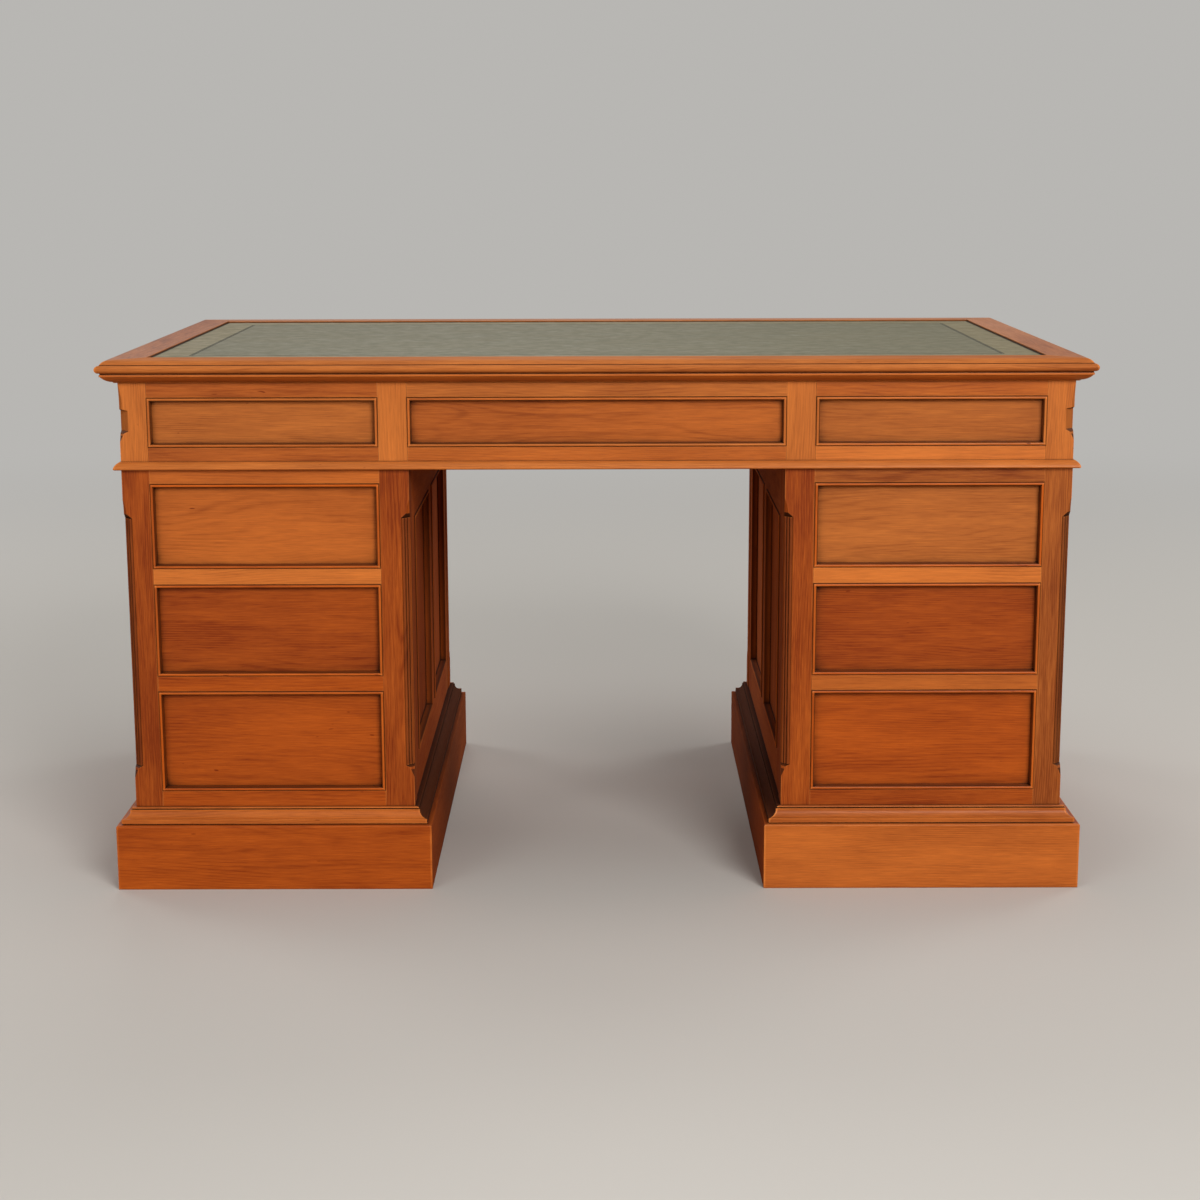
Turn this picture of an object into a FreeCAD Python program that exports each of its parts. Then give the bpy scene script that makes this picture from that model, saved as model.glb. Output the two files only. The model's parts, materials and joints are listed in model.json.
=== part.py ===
import FreeCAD, Part
import math
import os
import re

import Sketcher
from FreeCAD import Placement, Rotation, Vector

# A pedestal desk with a leather top, in three parts that come apart: a top section with a panelled
# frieze, and two pedestals. The -Y side and both ends are fixed framed panels. The +Y side has nine
# drawers. Millimetres, +Z up, origin on the floor at the middle of the desk.

# ---------------------------------------------------------------------------------------------
# Driving dimensions. Each is one cell of the sheet, with its name as the cell's alias.
# ---------------------------------------------------------------------------------------------
SIZES = {
    # across the desk (X), from the kneehole outwards
    "kneehole_width": 545,
    "inner_post": 43,
    "opening_width": 332.5,
    "outer_post": 40,
    "muntin_width": 42,
    # front to back (Y), from a corner inwards
    "post_depth": 40,
    "side_stile": 57,
    "side_panel_width": 268,
    "side_muntin": 56,
    # upwards (Z), one on top of the other
    "plinth_height": 98,
    "base_moulding_height": 23,
    "bottom_rail": 24,
    "deep_opening": 152,
    "lower_rail": 23,
    "middle_opening": 137.5,
    "upper_rail": 23.5,
    "shallow_opening": 125,
    "top_rail": 21,
    "frieze_bottom_rail": 32,
    "frieze_opening": 72,
    "frieze_top_rail": 35,
    # writing top
    "top_overhang": 27,
    "frame_board": 62.5,
    "leather_thick": 1.5,
    "leather_recess": 2.5,
    "leather_gap": 1,
    "board_tongue": 6,
    "tongue_thick": 7,
    "thumb_width": 10.5,
    "thumb_height": 6,
    "thumb_radius": 12.5,
    "quirk": 1,
    "nose_height": 11,
    "nose_setback": 6.5,
    "under_nose": 2,
    # cornice under the top
    "cornice_height": 13,
    "cornice_reach": 21.5,
    "cornice_fillet": 3.2,
    "cornice_step": 1.2,
    "cornice_foot": 5,
    "cornice_lip": 1.3,
    "cornice_radius": 22,
    # waist moulding
    "waist_height": 11.5,
    "waist_reach": 10,
    "waist_nose": 2.5,
    "waist_step": 1,
    "waist_radius": 14,
    # base moulding and plinth
    "plinth_reach": 26,
    "plinth_round": 2,
    "base_fillet_reach": 19,
    "base_fillet": 6.5,
    "base_quirk": 1.5,
    "cove_step": 1.5,
    "cove_top": 7.7,
    "cove_radius": 10.5,
    "base_bead": 3,
    "base_bead_reach": 4.5,
    "base_bead_step": 1.5,
    "carcase_foot": 10,
    "glue_block": 30,
    # frames, panels and beads
    "frame_thick": 24,
    "side_setback": 1.5,
    "side_bottom_rail": 61,
    "side_top_rail": 84,
    "panel_recess": 9,
    "panel_thick": 8,
    "panel_tongue": 6,
    "bead_width": 5.3,
    "bead_proud": 2.3,
    "tenon_length": 18,
    "tenon_inset": 7,
    # stopped chamfers on the posts
    "chamfer": 13,
    "stop_length": 28,
    "stop_depth": 3.5,
    "stop_shoulder": 7,
    "stop_radius": 70,
    "frieze_stop_top": 14,
    "frieze_stop_rise": 40,
    "frieze_chamfer_length": 29,
    "frieze_lower_stop": 17,
    "frieze_stop_radius": 140,
    "frieze_stop_shoulder": 2,
    "post_stop_top": 44,
    "post_stop_foot": 45,
    "lower_stop": 18,
    "reed_radius": 2.4,
    "reed_pitch": 5,
    # inside the carcase
    "blade_depth": 60,
    "runner_height": 20,
    "runner_lap": 18,
    "guide_height": 25,
    "board_thick": 12,
    "partition_thick": 22,
    "stop_block_length": 40,
    "stop_block_depth": 14,
    "stop_block_height": 6,
    "screw_shank": 2.2,
    "screw_head": 4.5,
    "screw_head_height": 3,
    "screw_length": 40,
    "screw_place": 250,
    # drawers
    "drawer_gap": 1,
    "drawer_seat": 0.2,
    "drawer_room": 80,
    "front_thick": 20,
    "drawer_side": 10,
    "drawer_back": 9,
    "drawer_bottom": 6,
    "bottom_rise": 10,
    "bottom_groove": 5,
    "side_drop": 3,
    "back_drop": 6,
    "tail_length": 14,
    "tail_flare": 3,
    "knob_radius": 16,
    "knob_neck": 8,
    "knob_base": 12,
    "knob_base_height": 4,
    "knob_length": 31,
    "knob_crown": 14,
    "spigot_radius": 6,
    "spigot_length": 14,
    "knob_spread": 150,
}

# Places worked out from the driving dimensions.
PLACES = {
    "knee_x": "kneehole_width / 2",
    "opening_in": "knee_x + inner_post",
    "opening_out": "opening_in + opening_width",
    "face_x": "opening_out + outer_post",
    "muntin_in": "opening_in - muntin_width",
    "panel_mid_y": "side_muntin / 2 + side_panel_width / 2",
    "stile_y": "side_muntin / 2 + side_panel_width",
    "post_y": "stile_y + side_stile",
    "face_y": "post_y + post_depth",
    "frame_back_y": "face_y - frame_thick",
    "blade_back_y": "face_y - blade_depth",
    "panel_face": "face_y - panel_recess",
    "front_back_y": "panel_face - front_thick",
    "top_thick": "thumb_height + quirk + nose_height + under_nose",
    "top_width": "2 * (face_x + top_overhang)",
    "top_depth": "2 * (face_y + top_overhang)",
    "base_top": "plinth_height + base_moulding_height",
    "deep_low": "base_top + bottom_rail",
    "deep_high": "deep_low + deep_opening",
    "middle_low": "deep_high + lower_rail",
    "middle_high": "middle_low + middle_opening",
    "shallow_low": "middle_high + upper_rail",
    "shallow_high": "shallow_low + shallow_opening",
    "pedestal_top": "shallow_high + top_rail",
    "frieze_low": "pedestal_top + frieze_bottom_rail",
    "frieze_high": "frieze_low + frieze_opening",
    "carcase_top": "frieze_high + frieze_top_rail",
    "desk_height": "carcase_top + top_thick",
    "rail_foot": "plinth_height - bottom_rail",
    "side_low": "base_top + side_bottom_rail",
    "side_high": "pedestal_top - side_top_rail",
    "knee_face": "knee_x + side_setback",
    "knee_back": "knee_face + frame_thick",
    "end_face": "face_x - side_setback",
    "end_back": "end_face - frame_thick",
    "muntin_mid": "(muntin_in + opening_in) / 2",
    "partition_in": "muntin_mid - partition_thick / 2",
    "partition_out": "muntin_mid + partition_thick / 2",
    "frame_in_x": "face_x + top_overhang - frame_board",
    "frame_in_y": "face_y + top_overhang - frame_board",
    "leather_top": "desk_height - leather_recess",
    "leather_low": "leather_top - leather_thick",
    "chamfer_depth": "chamfer / sqrt(2)",
    "drawer_back_y": "-(panel_face) + panel_thick + drawer_room",
}

# (name, lowest and highest place) of the openings of a pedestal, from the floor up
PEDESTAL_OPENINGS = (
    ("bottom", "deep_low", "deep_high"),
    ("middle", "middle_low", "middle_high"),
    ("top", "shallow_low", "shallow_high"),
)

doc = FreeCAD.newDocument("pedestal_desk")
sheet = doc.addObject("Spreadsheet::Sheet", "Sizes")
for row, (alias, number) in enumerate(SIZES.items(), start=1):
    sheet.set(f"A{row}", alias)
    sheet.set(f"B{row}", str(number))
    sheet.setAlias(f"B{row}", alias)
doc.recompute()

nodes = []


# ---------------------------------------------------------------------------------------------
# Formulas, boards, sketches and joints
# ---------------------------------------------------------------------------------------------
def formula(text):
    """The sheet's expression for a formula in plain names."""
    def expand(match):
        word = match.group(0)
        if word in PLACES:
            return f"({formula(PLACES[word])})"
        return f"Sizes.{word}" if word in SIZES else word
    return re.sub(r"[a-z][a-z_]*", expand, str(text))


def value(text):
    """What a formula comes to, in millimetres."""
    return float(sheet.evalExpression(formula(text)))


def span(sign, low, high):
    """A stretch on the plus side of the desk, or its mirror image on the minus side."""
    return (low, high) if sign > 0 else (f"-({high})", f"-({low})")


def sized(item, **formulas):
    """Bind an object's sizes to the sheet."""
    for size, text in formulas.items():
        item.setExpression(size, formula(text))
    return item


def moved(item, across, along, up):
    """Bind an object's place to the sheet."""
    for axis, text in zip("xyz", (across, along, up)):
        item.setExpression(f"Placement.Base.{axis}", formula(text))
    return item


def board(name, across, along, up):
    """A squared board between (low, high) places on X, Y and Z."""
    box = sized(doc.addObject("Part::Box", name),
                Length=f"({across[1]}) - ({across[0]})",
                Width=f"({along[1]}) - ({along[0]})",
                Height=f"({up[1]}) - ({up[0]})")
    return moved(box, across[0], along[0], up[0])


def fused(name, pieces):
    """Pieces cut from one length of wood."""
    whole = doc.addObject("Part::MultiFuse", name)
    whole.Shapes = pieces
    return whole


def housed(piece, tenants):
    """A piece with room cut for the tongues, tenons and edges that sit in it."""
    room = doc.addObject("Part::Compound", f"{piece.Name}_room")
    room.Links = tenants
    cut = doc.addObject("Part::Cut", f"{piece.Name}_housed")
    cut.Base = piece
    cut.Tool = room
    return cut


def node(name, pieces):
    """One named sub-part: a piece, or a set of like pieces."""
    group = doc.addObject("Part::Compound", name)
    group.Links = pieces
    group.Label = name
    nodes.append(group)


def arc_middle(start, end, turn, kind, number):
    """A point half way along an arc that is given by its radius or by its centre's place."""
    chord = end - start
    if kind == "radius":
        rise = math.sqrt(max(number ** 2 - chord.Length ** 2 / 4, 0))
        to_left = Vector(-chord.y, chord.x, 0).normalize()
        centre = (start + end) / 2 + to_left * (rise if turn == "round" else -rise)
    else:
        level = (end.dot(end) - start.dot(start)) / 2
        if kind == "centre_x":
            centre = Vector(number, (level - number * chord.x) / chord.y, 0)
        else:
            centre = Vector((level - number * chord.y) / chord.x, number, 0)
    to_right = Vector(chord.y, -chord.x, 0).normalize()
    radius = (start - centre).Length
    return centre + to_right * (radius if turn == "round" else -radius)


def outline(sketch, corners):
    """Draw a closed outline, counterclockwise. A corner is (x, y), and the edge that arrives at it is
    straight, or an arc where the corner goes on with its turn, what fixes it, and that formula."""
    points = [Vector(value(corner[0]), value(corner[1]), 0) for corner in corners]
    edges, arcs, ends = [], [], []
    for index, corner in enumerate(corners):
        start, end = points[index - 1], points[index]
        if len(corner) == 2:
            edges.append(Part.LineSegment(start, end))
            ends.append((1, 2))
            continue
        turn, kind, text = corner[2:]
        middle = arc_middle(start, end, turn, kind, value(text))
        first, last = (start, end) if turn == "round" else (end, start)
        edges.append(Part.Arc(first, middle, last))
        ends.append((1, 2) if turn == "round" else (2, 1))
        arcs.append((index, kind, text))
    sketch.addGeometry(edges, False)
    rules = []
    for index, point in enumerate(points):
        following = (index + 1) % len(points)
        rules.append(Sketcher.Constraint("Coincident", index, ends[index][1],
                                         following, ends[following][0]))
    sketch.addConstraint(rules)
    for index, (corner, point) in enumerate(zip(corners, points)):
        for kind, text, number in (("DistanceX", corner[0], point.x), ("DistanceY", corner[1], point.y)):
            rule = sketch.addConstraint(
                Sketcher.Constraint(kind, -1, 1, index, ends[index][1], number))
            sketch.setExpression(f"Constraints[{rule}]", formula(text))
    for index, kind, text in arcs:
        number = value(text)
        if kind == "radius":
            rule = sketch.addConstraint(Sketcher.Constraint("Radius", index, number))
        else:
            axis = "DistanceX" if kind == "centre_x" else "DistanceY"
            rule = sketch.addConstraint(Sketcher.Constraint(axis, -1, 1, index, 3, number))
        sketch.setExpression(f"Constraints[{rule}]", formula(text))


def body_sketch(body, role, corners):
    """A sketch on one of a body's own origin planes."""
    plane = next(item for item in body.Origin.OriginFeatures if item.Role == role)
    sketch = body.newObject("Sketcher::SketchObject", f"{body.Name}_outline")
    sketch.AttachmentSupport = [(plane, "")]
    sketch.MapMode = "FlatFace"
    outline(sketch, corners)
    return sketch


def profile(name, corners):
    """The cross-section of a moulding: x is outwards from the face, y is up from its foot."""
    sketch = doc.addObject("Sketcher::SketchObject", name)
    outline(sketch, corners)
    sketch.Placement = Placement(Vector(), Rotation(Vector(0, 1, 0), Vector(0, 0, 1), Vector(1, 0, 0)))
    return sketch


X, Y, Z = Vector(1, 0, 0), Vector(0, 1, 0), Vector(0, 0, 1)


def mitred_strip(name, section, length, reach, rise, outward, normal, place):
    """A length of moulding, mitred at both ends. length is measured on its face; reach and rise
    are the section's (low, high) limits outwards and along the normal."""
    low, high = reach
    run = doc.addObject("Part::Extrusion", f"{name}_run")
    run.Base = section
    run.DirMode = "Custom"
    run.Dir = X
    run.Symmetric = True
    run.Solid = True
    sized(run, LengthFwd=f"{length} + 2 * ({high}) + 2")
    mitre = sized(doc.addObject("Part::Wedge", f"{name}_mitre"),
                  Ymin=low, Ymax=high,
                  Xmin=f"-({length}) / 2 - ({low})", Xmax=f"({length}) / 2 + ({low})",
                  X2min=f"-({length}) / 2 - ({high})", X2max=f"({length}) / 2 + ({high})",
                  Zmin=rise[0], Z2min=rise[0], Zmax=rise[1], Z2max=rise[1])
    piece = doc.addObject("Part::Common", name)
    piece.Base = run
    piece.Tool = mitre
    piece.Placement = Placement(Vector(), Rotation(outward.cross(normal), outward, normal))
    return moved(piece, *place)


def ring(name, sections, widths, reach, rise, normal, centre):
    """Four mitred strips around a rectangle, as (piece, outward direction). widths are the
    rectangle's sizes along the ring's two directions, and sections the profiles used there."""
    first = Y if normal.x else X
    second = Y if normal.z else Z
    strips = []
    for direction, section, width, length in ((first, sections[0], widths[0], widths[1]),
                                              (second, sections[1], widths[1], widths[0])):
        for sign in (-1, 1):
            outward = direction * sign
            place = [f"{middle} + {component} * ({width}) / 2"
                     for middle, component in zip(centre, outward)]
            strip = mitred_strip(f"{name}_strip", section, length, reach, rise, outward, normal, place)
            strips.append((strip, outward))
    return strips


def rail(name, across, along, up, runs, host=None):
    """A frame member with a tenon at both ends, along X, Y or Z as runs says. host is the stretch
    on Y of what the tenons go into, where that is narrower than the rail."""
    spans = {"x": across, "y": host or along, "z": up}
    inner = {axis: (f"{low} + tenon_inset", f"{high} - tenon_inset")
             for axis, (low, high) in spans.items()}
    inner[runs] = (f"{spans[runs][0]} - tenon_length", f"{spans[runs][1]} + tenon_length")
    return fused(name, [board(f"{name}_length", across, along, up),
                        board(f"{name}_tenon", inner["x"], inner["y"], inner["z"])])


def blade(name, across, up):
    """A deep rail of the drawer side, tenoned into the posts."""
    return rail(name, across, ("blade_back_y", "face_y"), up, "x", ("post_y", "face_y"))


# ---------------------------------------------------------------------------------------------
# Sections of the mouldings
# ---------------------------------------------------------------------------------------------
def bead_section():
    """A flat strip with a half-round crown, from the panel's face to just proud of the frame."""
    crown = "bead_proud - bead_width / 2"
    return profile("bead_section", [
        ("-bead_width", "-panel_recess"),
        ("0", "-panel_recess"),
        ("0", crown),
        ("-bead_width", crown, "round", "centre_y", crown)])


def frame_board_section():
    """The top's frame board: flat, thumb edge, quirk, half-round nose and a plain underside."""
    nose_low = "-thumb_height - quirk - nose_height"
    return profile("frame_board_section", [
        ("-frame_board", "-top_thick"),
        ("-nose_setback", "-top_thick"),
        ("-nose_setback", nose_low),
        ("-nose_height / 2", nose_low),
        ("-nose_height / 2", "-thumb_height - quirk", "round", "centre_x", "-nose_height / 2"),
        ("-nose_setback", "-thumb_height - quirk"),
        ("-nose_setback", "-thumb_height"),
        ("-nose_setback - thumb_width", "0", "round", "radius", "thumb_radius"),
        ("-frame_board", "0")])


def cornice_section(back):
    """A fillet over a gentle ovolo and a small foot."""
    return profile("cornice_section", [
        (back, "0"),
        ("cornice_foot", "0"),
        ("cornice_foot", "cornice_lip"),
        ("cornice_reach - cornice_step", "cornice_height - cornice_fillet",
         "round", "radius", "cornice_radius"),
        ("cornice_reach", "cornice_height - cornice_fillet"),
        ("cornice_reach", "cornice_height"),
        (back, "cornice_height")])


def waist_section(back):
    """A nose that falls away gently above and tucks in below."""
    return profile("waist_section", [
        (back, "0"),
        ("waist_reach - waist_nose", "0"),
        ("waist_reach", "waist_nose", "round", "centre_y", "waist_nose"),
        ("waist_step", "waist_height", "round", "radius", "waist_radius"),
        (back, "waist_height")])


def base_section(back):
    """A quirk, a fillet, a cove and a thin bead, from the plinth up."""
    bead_low = "base_moulding_height - base_bead"
    cove_high = "base_moulding_height - base_bead - base_bead_step"
    return profile("base_section", [
        (back, "0"),
        ("base_fillet_reach - base_quirk", "0"),
        ("base_fillet_reach - base_quirk", "base_quirk"),
        ("base_fillet_reach", "base_quirk"),
        ("base_fillet_reach", "base_quirk + base_fillet"),
        ("base_fillet_reach - cove_step", "base_quirk + base_fillet"),
        ("cove_top", cove_high, "hollow", "radius", "cove_radius"),
        ("cove_top", bead_low),
        ("base_bead_reach", bead_low),
        ("base_bead_reach", "base_moulding_height", "round", "centre_x", "base_bead_reach"),
        (back, "base_moulding_height")])


def plinth_section():
    """A plain board with its upper outer edge eased."""
    return profile("plinth_section", [
        ("0", "0"),
        ("plinth_reach", "0"),
        ("plinth_reach", "plinth_height - plinth_round"),
        ("plinth_reach - plinth_round", "plinth_height", "round", "centre_y",
         "plinth_height - plinth_round"),
        ("0", "plinth_height")])


# ---------------------------------------------------------------------------------------------
# Posts
# ---------------------------------------------------------------------------------------------
def chamfer_cutter(name, signs, corner, low_stop, low, high, high_stop, shoulder, radius):
    """What a stopped chamfer takes off an outside corner. The sketch stands on the corner's
    diagonal: x is outwards from the corner, y is up."""
    beyond = "chamfer"
    sketch = doc.addObject("Sketcher::SketchObject", f"{name}_sketch")
    outline(sketch, [
        (beyond, low_stop),
        (beyond, high_stop),
        ("0", high_stop),
        ("-stop_depth", f"{high} + {shoulder}", "round", "radius", radius),
        ("-chamfer_depth", high),
        ("-chamfer_depth", low),
        ("-stop_depth * 1.3", f"{low} - stop_shoulder / 2"),
        ("-stop_depth", f"{low} - stop_shoulder"),
        ("0", low_stop)])
    outward = Vector(signs[0], signs[1], 0).normalize()
    sketch.Placement = Placement(Vector(), Rotation(outward, Z, outward.cross(Z)))
    moved(sketch, corner[0], corner[1], "0")
    cutter = doc.addObject("Part::Extrusion", name)
    cutter.Base = sketch
    cutter.DirMode = "Normal"
    cutter.Symmetric = True
    cutter.Solid = True
    return sized(cutter, LengthFwd="4 * chamfer")


def corner_post(name, signs, across, up, corner_x, stops, reeded):
    """A square post whose outside corner has a stopped chamfer, plain or with three reeds, and the
    square blank that it is cut from. signs are the directions of that corner, and stops its low
    stop, low, high, high stop, shoulder and radius."""
    along = span(signs[1], "post_y", "face_y")
    square = board(f"{name}_square", across, along, up)
    corner = (corner_x, f"{signs[1]} * (face_y)")
    cutter = chamfer_cutter(f"{name}_cutter", signs, corner, *stops)
    cut = doc.addObject("Part::Cut", f"{name}_chamfered")
    cut.Base = square
    cut.Tool = cutter
    if not reeded:
        return cut, square
    low, high = stops[1], stops[2]
    reeds = []
    for step in (-1, 0, 1):
        reed = sized(doc.addObject("Part::Cylinder", f"{name}_reed"),
                     Radius="reed_radius", Height=f"{high} - ({low})")
        inset_x = f"(chamfer / 2 - {step} * reed_pitch / sqrt(2))"
        inset_y = f"(chamfer / 2 + {step} * reed_pitch / sqrt(2))"
        reeds.append(moved(reed, f"{corner[0]} - {signs[0]} * {inset_x}",
                           f"{corner[1]} - {signs[1]} * {inset_y}", low))
    return fused(name, [cut] + reeds), square


# ---------------------------------------------------------------------------------------------
# Framed panels
# ---------------------------------------------------------------------------------------------
def face_panel(name, across, up):
    """A fixed panel of the -Y side: its edges reach into the frame around it."""
    return board(name,
                 (f"{across[0]} - panel_tongue", f"{across[1]} + panel_tongue"),
                 ("-(panel_face)", "-(panel_face) + panel_thick"),
                 (f"{up[0]} - panel_tongue", f"{up[1]} + panel_tongue"))


def side_panel(name, sign, face, y_sign, up):
    """A fixed panel of a side that looks along sign X; face is that side's frame face."""
    along = span(y_sign, "side_muntin / 2 - panel_tongue", "stile_y + panel_tongue")
    skin = f"{face} - {sign} * panel_recess"
    across = ((f"{skin} - panel_thick", skin) if sign > 0 else (skin, f"{skin} + panel_thick"))
    return board(name, across, along, (f"{up[0]} - panel_tongue", f"{up[1]} + panel_tongue"))


def bead_frame(name, section, normal, centre, width, height):
    """A planted bead of four mitred strips around the inside of an opening."""
    strips = ring(name, (section, section), (width, height), ("-bead_width", "0"),
                  ("-panel_recess", "bead_proud"), normal, centre)
    return [strip for strip, outward in strips]


def side_frame(name, sign, face, up, low, high, bead):
    """Stiles, rails, muntin, two panels and their beads for a side that looks along sign X.
    up is the frame's height, and low and high are the openings' limits."""
    across = ((f"{face} - frame_thick", face) if sign > 0 else (face, f"{face} + frame_thick"))
    inside = ("-(stile_y)", "stile_y")
    rails = [rail(f"{name}_rail", across, inside, (up[0], low), "y"),
             rail(f"{name}_rail", across, inside, (high, up[1]), "y")]
    muntin = rail(f"{name}_muntin", across, ("-side_muntin / 2", "side_muntin / 2"), (low, high), "z")
    panels, beads = [], []
    for y_sign in (-1, 1):
        panels.append(side_panel(f"{name}_panel", sign, face, y_sign, (low, high)))
        centre = (face, f"{y_sign} * (panel_mid_y)", f"({low} + {high}) / 2")
        beads += bead_frame(f"{name}_bead", bead, X * sign, centre, "side_panel_width",
                            f"({high} - ({low}))")
    stiles = [housed(board(f"{name}_stile", across, span(y_sign, "stile_y", "post_y"), up), rails + panels)
              for y_sign in (-1, 1)]
    members = stiles + [housed(item, panels + [muntin]) for item in rails] + [housed(muntin, panels)]
    return members, panels, beads


# ---------------------------------------------------------------------------------------------
# The writing top and the frieze
# ---------------------------------------------------------------------------------------------
def writing_top():
    """Mitred frame boards around a tongued board, with the leather let in between them."""
    inside_x = ("-(frame_in_x)", "frame_in_x")
    inside_y = ("-(frame_in_y)", "frame_in_y")
    tongue = ("carcase_top + tongue_thick / 2", "carcase_top + tongue_thick * 1.5")
    top_board = fused("top_board_whole", [
        board("top_board_flat", inside_x, inside_y, ("carcase_top", "leather_low")),
        board("top_board_tongue",
              ("-(frame_in_x) - board_tongue", "frame_in_x + board_tongue"),
              ("-(frame_in_y) - board_tongue", "frame_in_y + board_tongue"), tongue)])
    section = frame_board_section()
    strips = ring("top_frame", (section, section), ("top_width", "top_depth"), ("-frame_board", "0"),
                  ("-top_thick", "0"), Z, ("0", "0", "desk_height"))
    node("top_frame", [housed(strip, [top_board]) for strip, outward in strips])
    node("top_board", [top_board])
    node("leather_inset", [board("leather_sheet",
                                 ("-(frame_in_x) + leather_gap", "frame_in_x - leather_gap"),
                                 ("-(frame_in_y) + leather_gap", "frame_in_y - leather_gap"),
                                 ("leather_low", "leather_top"))])


def around_carcase(name, make_section, height, reach, low, squares, across=None):
    """A moulding around a carcase. On the sides, where the frame stands back from the posts, it
    reaches back to the frame and is cut over the posts, which are square there."""
    back = "-side_setback"
    middle, width = across or ("0", "2 * (face_x)")
    strips = ring(name, (make_section(back), make_section("0")), (width, "2 * (face_y)"),
                  (back, reach), ("0", height), Z, (middle, "0", low))
    node(name, [housed(strip, squares) if outward.x else strip for strip, outward in strips])


def frieze(bead):
    """The top section's carcase: posts, muntins, rails, end frames and panels."""
    up = ("pedestal_top", "carcase_top")
    bottom, top = ("pedestal_top", "frieze_low"), ("frieze_high", "carcase_top")
    opening = ("frieze_low", "frieze_high")
    bays = (span(-1, "opening_in", "opening_out"), ("-(muntin_in)", "muntin_in"),
            span(1, "opening_in", "opening_out"))
    centres = ("-(opening_in + opening_width / 2)", "0", "opening_in + opening_width / 2")
    fixed_y = ("-(face_y)", "-(frame_back_y)")
    rails = {-1: [], 1: []}
    panels, beads = [], []
    for bay, centre in zip(bays, centres):
        for height in (bottom, top):
            rails[-1].append(rail("frieze_rail", bay, fixed_y, height, "x"))
            rails[1].append(blade("frieze_blade", bay, height))
        panels.append(face_panel("frieze_panel", bay, opening))
        beads += bead_frame("frieze_bead", bead, -Y, (centre, "-(face_y)", "(frieze_low + frieze_high) / 2"),
                            f"({bay[1]} - ({bay[0]}))", "frieze_opening")
    end_members, end_panels, end_beads = [], [], []
    for sign in (-1, 1):
        members, sheets, trim = side_frame("frieze_end", sign, f"{sign} * (end_face)", up,
                                           *opening, bead)
        end_members += members
        end_panels += sheets
        end_beads += trim
    chamfer_high = "carcase_top - frieze_stop_top - frieze_stop_rise"
    chamfer_low = f"{chamfer_high} - frieze_chamfer_length"
    stops = (f"{chamfer_low} - frieze_lower_stop", chamfer_low, chamfer_high,
             "carcase_top - frieze_stop_top", "frieze_stop_shoulder", "frieze_stop_radius")
    posts, squares, muntins = [], [], []
    for x_sign in (-1, 1):
        for y_sign in (-1, 1):
            post, square = corner_post("frieze_post", (x_sign, y_sign),
                                       span(x_sign, "opening_out", "face_x"), up,
                                       f"{x_sign} * (face_x)", stops, False)
            tenants = rails[y_sign] + (panels if y_sign < 0 else [])
            posts.append(housed(post, tenants))
            squares.append(square)
            muntin = board("frieze_muntin", span(x_sign, "muntin_in", "opening_in"),
                           span(y_sign, "frame_back_y", "face_y"), up)
            muntins.append(housed(muntin, tenants))
    node("frieze_posts", posts)
    node("frieze_muntins", muntins)
    node("frieze_rails", [housed(item, panels) for item in rails[-1]] + rails[1])
    node("frieze_end_frames", end_members)
    node("frieze_panels", panels + end_panels)
    node("frieze_beads", beads + end_beads)
    around_carcase("cornice_moulding", cornice_section, "cornice_height", "cornice_reach",
                   "carcase_top - cornice_height", squares)
    around_carcase("waist_moulding", waist_section, "waist_height", "waist_reach", "pedestal_top",
                   squares)
    return rails[1]


def frieze_inside(blades, screws):
    """Partitions behind the muntins, and runners, guides and kickers for the three drawers."""
    pieces = []
    inside_y = ("-(post_y)", "blade_back_y")
    under = ("pedestal_top", "frieze_low")
    beside = ("frieze_low", "frieze_low + guide_height")
    above = ("frieze_high", "frieze_high + runner_height")
    for sign in (-1, 1):
        partition = board("frieze_partition", span(sign, "partition_in", "partition_out"),
                          ("-(frame_back_y)", "frame_back_y"), ("pedestal_top", "carcase_top"))
        pieces.append(housed(partition, blades))
        for wall, edge, lap in (("end_back", "opening_out", "opening_out - runner_lap"),
                                ("partition_out", "opening_in", "opening_in + runner_lap"),
                                ("partition_in", "muntin_in", "muntin_in - runner_lap")):
            outer = wall in ("end_back", "partition_in")
            wide = span(sign, *((lap, wall) if outer else (wall, lap)))
            narrow = span(sign, *((edge, wall) if outer else (wall, edge)))
            runner = board("frieze_runner", wide, inside_y, under)
            pieces.append(housed(runner, screws))
            pieces.append(board("frieze_kicker", wide, inside_y, above))
            pieces.append(board("frieze_guide", narrow, inside_y, beside))
    for centre in ("-(opening_in + opening_width / 2)", "0", "opening_in + opening_width / 2"):
        pieces += stop_blocks(centre, "frieze_low")
    node("frieze_partitions_and_runners", pieces)


def stop_blocks(centre, low):
    """Two small blocks behind a drawer's front, which stop it when it is shut."""
    along = ("front_back_y - drawer_seat - stop_block_depth", "front_back_y - drawer_seat")
    blocks = []
    for sign in (-1, 1):
        middle = f"{centre} + {sign} * opening_width / 4"
        blocks.append(board("drawer_stop",
                            (f"{middle} - stop_block_length / 2", f"{middle} + stop_block_length / 2"),
                            along, (low, f"{low} + stop_block_height")))
    return blocks


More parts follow.
